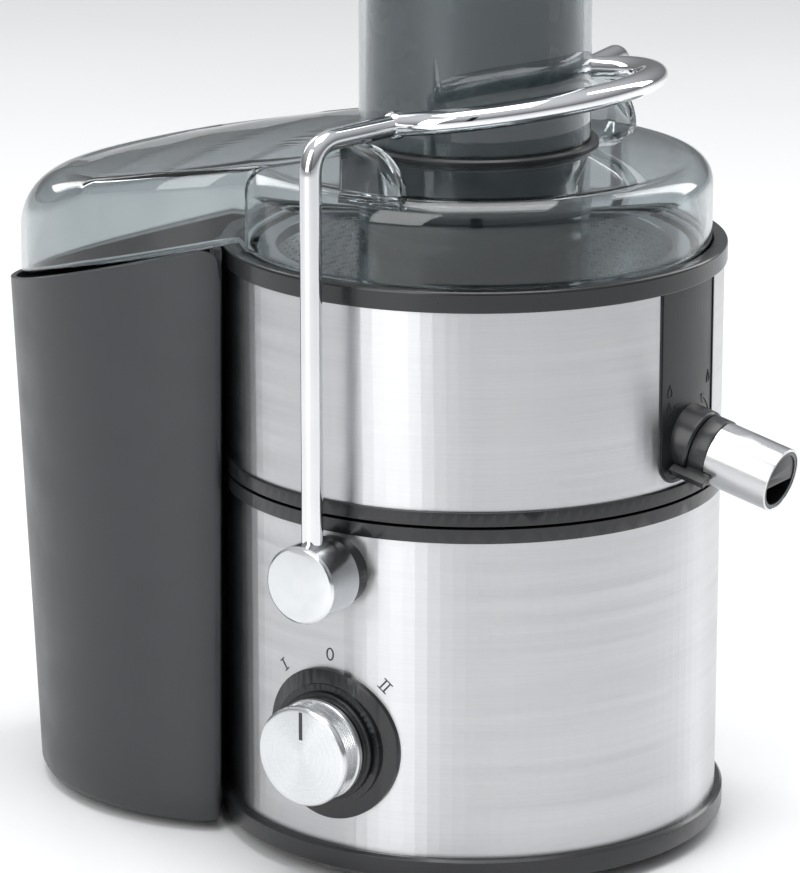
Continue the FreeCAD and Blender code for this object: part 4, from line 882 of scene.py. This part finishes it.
class JUICER_OT_motor(JuicerOperator, bpy.types.Operator):
    """Finish the motor, its mounts, brushes and electrical parts"""

    bl_idname = "juicer.motor"
    bl_label = "Motor and electrics"

    def execute(self, context):
        finishes = {
            "selector_switch": "nylon", "circuit_board": "circuit", "interlock_switch": "fine_black",
            "motor_stator": "lamination", "stator_coils": "copper", "upper_bracket": "cast",
            "lower_bracket": "cast", "upper_bearing": "zinc", "lower_bearing": "zinc", "motor_bolts": "zinc",
            "motor_spacers": "zinc", "motor_grommets": "rubber", "motor_studs": "zinc",
            "brush_holders": "fine_black", "carbon_brushes": "carbon", "shaft_seal": "rubber",
            "motor_shaft": "zinc", "armature_core": "lamination", "armature_windings": "copper",
            "commutator": "copper",
            "cooling_fan": "grey", "drive_coupling": "fine_black"}
        for node, material in finishes.items():
            finished_copy(node, material, 0.0)
        return {"FINISHED"}


class JUICER_OT_arm(JuicerOperator, bpy.types.Operator):
    """Build the chrome locking arm and finish its end caps, pins and bushes"""

    bl_idname = "juicer.arm"
    bl_label = "Locking arm"

    def execute(self, context):
        arm = mesh_from_grids("chrome_arm", arm_grids(self.sizes(context)), 50.0)
        dress(arm, "locking_arm", "chrome")
        finished_copy("arm_caps", "cap_metal", 0.5)
        finished_copy("pivot_pins", "zinc", 0.2)
        finished_copy("pivot_bushes", "fine_black", 0.4)
        return {"FINISHED"}


class JUICER_OT_bowl(JuicerOperator, bpy.types.Operator):
    """Finish the juice bowl, its steel band, its top ring and the lid's seal"""

    bl_idname = "juicer.bowl"
    bl_label = "Juice bowl"

    def execute(self, context):
        finished_copy("collector_bowl", "black_abs", 0.4)
        finished_copy("bowl_cladding", "cladding", 0.0)
        finished_copy("bowl_top_ring", "black_abs", 0.5)
        finished_copy("lid_seal", "silicone", 0.2)
        return {"FINISHED"}


class JUICER_OT_spout(JuicerOperator, bpy.types.Operator):
    """Finish the turning spout, its collar and its panel"""

    bl_idname = "juicer.spout"
    bl_label = "Spout"

    def execute(self, context):
        finished_copy("spout_panel", "fine_black", 0.0)
        self.emboss_panel()
        finished_copy("spout_collar", "black_abs", 0.3)
        finished_copy("spout_barrel", "black_abs", 0.3)
        finished_copy("spout_sleeve", "sleeve", 0.2)
        finished_copy("spout_tip", "fine_black", 0.2)
        finished_copy("spout_seal", "silicone", 0.0)
        return {"FINISHED"}

    def emboss_panel(self):
        """Raised border, two turning arrows and two drops on the panel, all in its own plastic."""
        facing, rise = math.pi / 2.0, 0.25
        border_grids = mark([panel_border()], (0.0, 0.0), 0.0, PANEL_RADIUS, facing, 0.4)
        border = mesh_from_grids("panel_border", border_grids)
        last = ARROW_END_DEGREES
        arrows = [arc_stroke(ARROW_RADIUS, 180.0 - last, 172.0, 0.7),
                  arc_stroke(ARROW_RADIUS, 8.0, last, 0.7)]
        barb = bar_stroke(-0.35, 0.35, 0.0, 3.2)
        drops = [drop_stroke(-14.2, 21.5, 2.6, 0.6), drop_stroke(-14.6, 15.6, 2.0, 0.6),
                 drop_stroke(14.6, 21.5, 2.6, 0.6)]
        signs = mark(arrows + drops, (0.0, SPOUT_HEIGHT), 0.0, PANEL_RADIUS, facing, rise)
        across, up = ARROW_RADIUS * math.cos(math.radians(last)), ARROW_RADIUS * math.sin(math.radians(last))
        for side in (-1.0, 1.0):
            tip = (side * across, SPOUT_HEIGHT + up)
            for lean in (100.0, 160.0):
                signs += mark([barb], tip, math.radians(side * -lean), PANEL_RADIUS, facing, rise)
        raised = mesh_from_grids("panel_signs", signs)
        for piece in (border, raised):
            dress(piece, "spout_panel", "fine_black", stands_for=False)


class JUICER_OT_basket(JuicerOperator, bpy.types.Operator):
    """Finish the strainer basket with its hub, grater and balancing ring"""

    bl_idname = "juicer.basket"
    bl_label = "Strainer basket"

    def execute(self, context):
        finished_copy("basket_hub", "grey", 0.3)
        finished_copy("grater_disc", "cap_metal", 0.0)
        finished_copy("strainer_cone", "strainer", 0.0)
        finished_copy("basket_rim", "cap_metal", 0.3)
        return {"FINISHED"}


class JUICER_OT_lid(JuicerOperator, bpy.types.Operator):
    """Build the clear lid with its pulp cover, and its two latch fins"""

    bl_idname = "juicer.lid"
    bl_label = "Lid"

    def execute(self, context):
        lid = mesh_from_grids("clear_lid", [(lid_surface(self.sizes(context)), True, False)], 50.0)
        wall = lid.modifiers.new("wall", "SOLIDIFY")
        wall.thickness = LID_WALL * MM
        wall.offset = -1.0
        dress(lid, "lid", "clear")
        for side, name in ((-1.0, "latch_fin_front"), (1.0, "latch_fin_rear")):
            fin = mesh_from_grids(name, fin_grids(side), 40.0)
            dress(fin, "lid", "clear", stands_for=False)
        return {"FINISHED"}


def fin_grids(side):
    """A latch fin: its outline is an arc over the top and a straight foot sunk in the dome."""
    angle = np.radians(np.linspace(0.0, 113.0, 40))
    arc = FIN_RADIUS * np.stack([np.cos(angle), np.sin(angle)], axis=-1) + FIN_CENTRE
    outline = np.vstack([arc, [[x, FIN_FOOT] for x in (-5.0, 12.0, FIN_CENTRE[0] + FIN_RADIUS)]])
    middle = outline.mean(axis=0)
    layers = [(FIN_INSIDE, 0.0), (FIN_INSIDE, 0.94), (FIN_INSIDE + 0.5, 1.0), (FIN_OUTSIDE - 0.5, 1.0),
              (FIN_OUTSIDE, 0.94), (FIN_OUTSIDE, 0.0)]
    rows = []
    for reach, share in layers:
        flat = middle + (outline - middle) * share
        rows.append(np.stack([flat[:, 0], np.full(len(flat), side * reach), flat[:, 1]], axis=-1))
    return [(np.stack(rows, axis=1), True, False)]


class JUICER_OT_chute(JuicerOperator, bpy.types.Operator):
    """Build the clear feed chute and its collar"""

    bl_idname = "juicer.chute"
    bl_label = "Feed chute"

    def execute(self, context):
        corners = [(CHUTE_BORE, CHUTE_LOW), (CHUTE_RADIUS, CHUTE_LOW), (CHUTE_RADIUS, CHUTE_HIGH - 6.0),
                   (CHUTE_LIP, CHUTE_HIGH - 4.0), (CHUTE_LIP, CHUTE_HIGH), (CHUTE_BORE, CHUTE_HIGH)]
        profile = rounded(corners, 1.2)
        chute = mesh_from_grids("clear_chute", [(lathe(profile, 200), True, True)], 50.0)
        dress(chute, "feed_chute", "chute")
        finished_copy("chute_collar", "fine_black", 0.3)
        return {"FINISHED"}


class JUICER_OT_pusher(JuicerOperator, bpy.types.Operator):
    """Finish the pusher and its cap"""

    bl_idname = "juicer.pusher"
    bl_label = "Pusher"

    def execute(self, context):
        finished_copy("pusher", "pusher", 0.4)
        finished_copy("pusher_cap", "pusher", 0.8)
        return {"FINISHED"}


class JUICER_OT_container(JuicerOperator, bpy.types.Operator):
    """Build the pulp container and its pads"""

    bl_idname = "juicer.container"
    bl_label = "Pulp container"

    def execute(self, context):
        surface = container_surface(self.sizes(context))
        container = mesh_from_grids("pulp_bin", [(surface, True, False)], 45.0)
        dress(container, "pulp_container", "container")
        finished_copy("container_pads", "rubber", 0.3)
        return {"FINISHED"}


def stage_material(colour):
    """Matt studio paper: a pale floor with barely visible unevenness and a faint sheen."""
    material, tree, here = new_material("studio paper, matt")
    cloud = noise(tree, here, 400.0, 2.0)
    shader = add(tree, "ShaderNodeBsdfPrincipled", Roughness=spread(tree, cloud, 0.3, 0.36), IOR=1.3)
    shader.inputs["Base Color"].default_value = (*colour, 1.0)
    shade(tree, shader)
    return material


def studio_world():
    """Air of the studio: dim at eye level, bright overhead, and pale where the camera looks at it."""
    world = bpy.data.worlds.new("studio")
    world.use_nodes = True
    tree = world.node_tree
    tree.nodes.clear()
    way = add(tree, "ShaderNodeTexCoord")
    parts = add(tree, "ShaderNodeSeparateXYZ", i0=way.outputs["Generated"])
    height = add(tree, "ShaderNodeMapRange", {"interpolation_type": "SMOOTHSTEP"}, i0=parts.outputs["Z"])
    height.inputs["From Min"].default_value = -0.05
    height.inputs["From Max"].default_value = 0.9
    height.inputs["To Min"].default_value = 0.2
    height.inputs["To Max"].default_value = 0.75
    seen = add(tree, "ShaderNodeLightPath")
    strength = add(tree, "ShaderNodeMapRange", i0=seen.outputs["Is Camera Ray"], i3=height.outputs[0])
    strength.inputs["To Max"].default_value = 0.95
    background = add(tree, "ShaderNodeBackground", Strength=strength.outputs[0])
    output = add(tree, "ShaderNodeOutputWorld", Surface=background.outputs[0])
    background.inputs["Color"].default_value = (0.95, 0.97, 1.0, 1.0)
    tree.nodes.active = output
    return world


def soft_light(name, place, target, size, watts):
    """An area light at a place, facing a target."""
    light = bpy.data.lights.new(name, "AREA")
    light.shape = "RECTANGLE"
    light.size, light.size_y = size
    light.energy = watts
    lamp = bpy.data.objects.new(name, light)
    bpy.context.scene.collection.objects.link(lamp)
    aim(lamp, place, target)
    return lamp


def dark_card():
    """A tall narrow black card behind the camera, which draws the fine dark line down the steel."""
    turn = bpy.context.scene.juicer_stage.azimuth
    bpy.ops.mesh.primitive_plane_add(size=1.0)
    card = bpy.context.active_object
    card.name = "dark card"
    card.data.materials.append(moulded_plastic("black card", "#0a0a0b", "#101011", 0.9, 0.8, 0.01))
    distance, half_width, tall = 3.2, 0.16, 2.6
    across = np.array([math.cos(turn), math.sin(turn), 0.0])
    centre = np.array([math.sin(turn) * distance, -math.cos(turn) * distance, 0.0])
    corners = ((-half_width, 0.0), (half_width, 0.0), (-half_width, tall), (half_width, tall))
    for vertex, (side, height) in zip(card.data.vertices, corners):
        vertex.co = (centre + across * side + np.array([0.0, 0.0, height])).tolist()
    return card


def aim(thing, place, target):
    """Stand a light or camera at a place and turn it to look at a target."""
    thing.location = place
    thing.rotation_euler = (Vector(target) - Vector(place)).to_track_quat("-Z", "Y").to_euler()


class JUICER_OT_stage(JuicerOperator, bpy.types.Operator):
    """Set the pale floor, the soft lights and the camera"""

    bl_idname = "juicer.stage"
    bl_label = "Stage"

    def execute(self, context):
        settings = context.scene.juicer_stage
        bpy.ops.mesh.primitive_plane_add(size=30.0)
        floor = context.active_object
        floor.name = "floor"
        floor.data.materials.append(stage_material(settings.floor_colour))
        context.scene.world = studio_world()
        dark_card()
        soft_light("front softbox", (-0.15, -1.7, 1.0), (0.0, 0.0, 0.15), (0.95, 1.7), 17.0)
        soft_light("rear softbox", (0.56, 1.45, 1.15), (0.0, 0.0, 0.15), (0.5, 1.5), 11.0)
        soft_light("side softbox", (-1.7, 0.5, 1.2), (0.0, 0.0, 0.15), (0.6, 1.4), 9.0)
        soft_light("top softbox", (0.1, -0.1, 2.1), (0.0, 0.0, 0.2), (1.4, 1.4), 27.0)
        camera = bpy.data.cameras.new("camera")
        camera.lens = settings.lens
        camera.sensor_width = 36.0
        stand = bpy.data.objects.new("camera", camera)
        context.scene.collection.objects.link(stand)
        turn, pitch = settings.azimuth, settings.pitch
        level = np.array([-math.sin(turn), math.cos(turn), 0.0])
        ahead = level * math.cos(pitch) - np.array([0.0, 0.0, math.sin(pitch)])
        right = np.array([math.cos(turn), math.sin(turn), 0.0])
        target = np.array([0.0, 0.0, 0.1512]) - right * 0.0282
        place = target - ahead * settings.distance
        aim(stand, place.tolist(), target.tolist())
        context.scene.camera = stand
        context.scene.view_settings.view_transform = "Standard"
        return {"FINISHED"}


class JUICER_PT_sidebar(bpy.types.Panel):
    """Sizes, stage and one button for each piece"""

    bl_label = "Juicer"
    bl_idname = "JUICER_PT_sidebar"
    bl_space_type = "VIEW_3D"
    bl_region_type = "UI"
    bl_category = "Juicer"

    def draw(self, context):
        for group in (context.scene.juicer_sizes, context.scene.juicer_stage):
            for name in group.__annotations__:
                self.layout.prop(group, name)
        for operator in STEPS:
            self.layout.operator(operator.bl_idname)


STEPS = (JUICER_OT_materials, JUICER_OT_base, JUICER_OT_knob, JUICER_OT_marks, JUICER_OT_motor, JUICER_OT_arm,
         JUICER_OT_bowl, JUICER_OT_spout, JUICER_OT_basket, JUICER_OT_lid, JUICER_OT_chute, JUICER_OT_pusher,
         JUICER_OT_container, JUICER_OT_stage)
CLASSES = (JuicerSizes, JuicerStage, JUICER_PT_sidebar) + STEPS


def register():
    """Register the classes and give every scene its settings."""
    for cls in CLASSES:
        bpy.utils.register_class(cls)
    bpy.types.Scene.juicer_sizes = bpy.props.PointerProperty(type=JuicerSizes)
    bpy.types.Scene.juicer_stage = bpy.props.PointerProperty(type=JuicerStage)


def unregister():
    """Take the settings and classes away again."""
    del bpy.types.Scene.juicer_stage
    del bpy.types.Scene.juicer_sizes
    for cls in reversed(CLASSES):
        bpy.utils.unregister_class(cls)


def main():
    """Build every piece in order."""
    register()
    for operator in STEPS:
        group, name = operator.bl_idname.split(".")
        getattr(getattr(bpy.ops, group), name)()


if __name__ == "__main__":
    main()
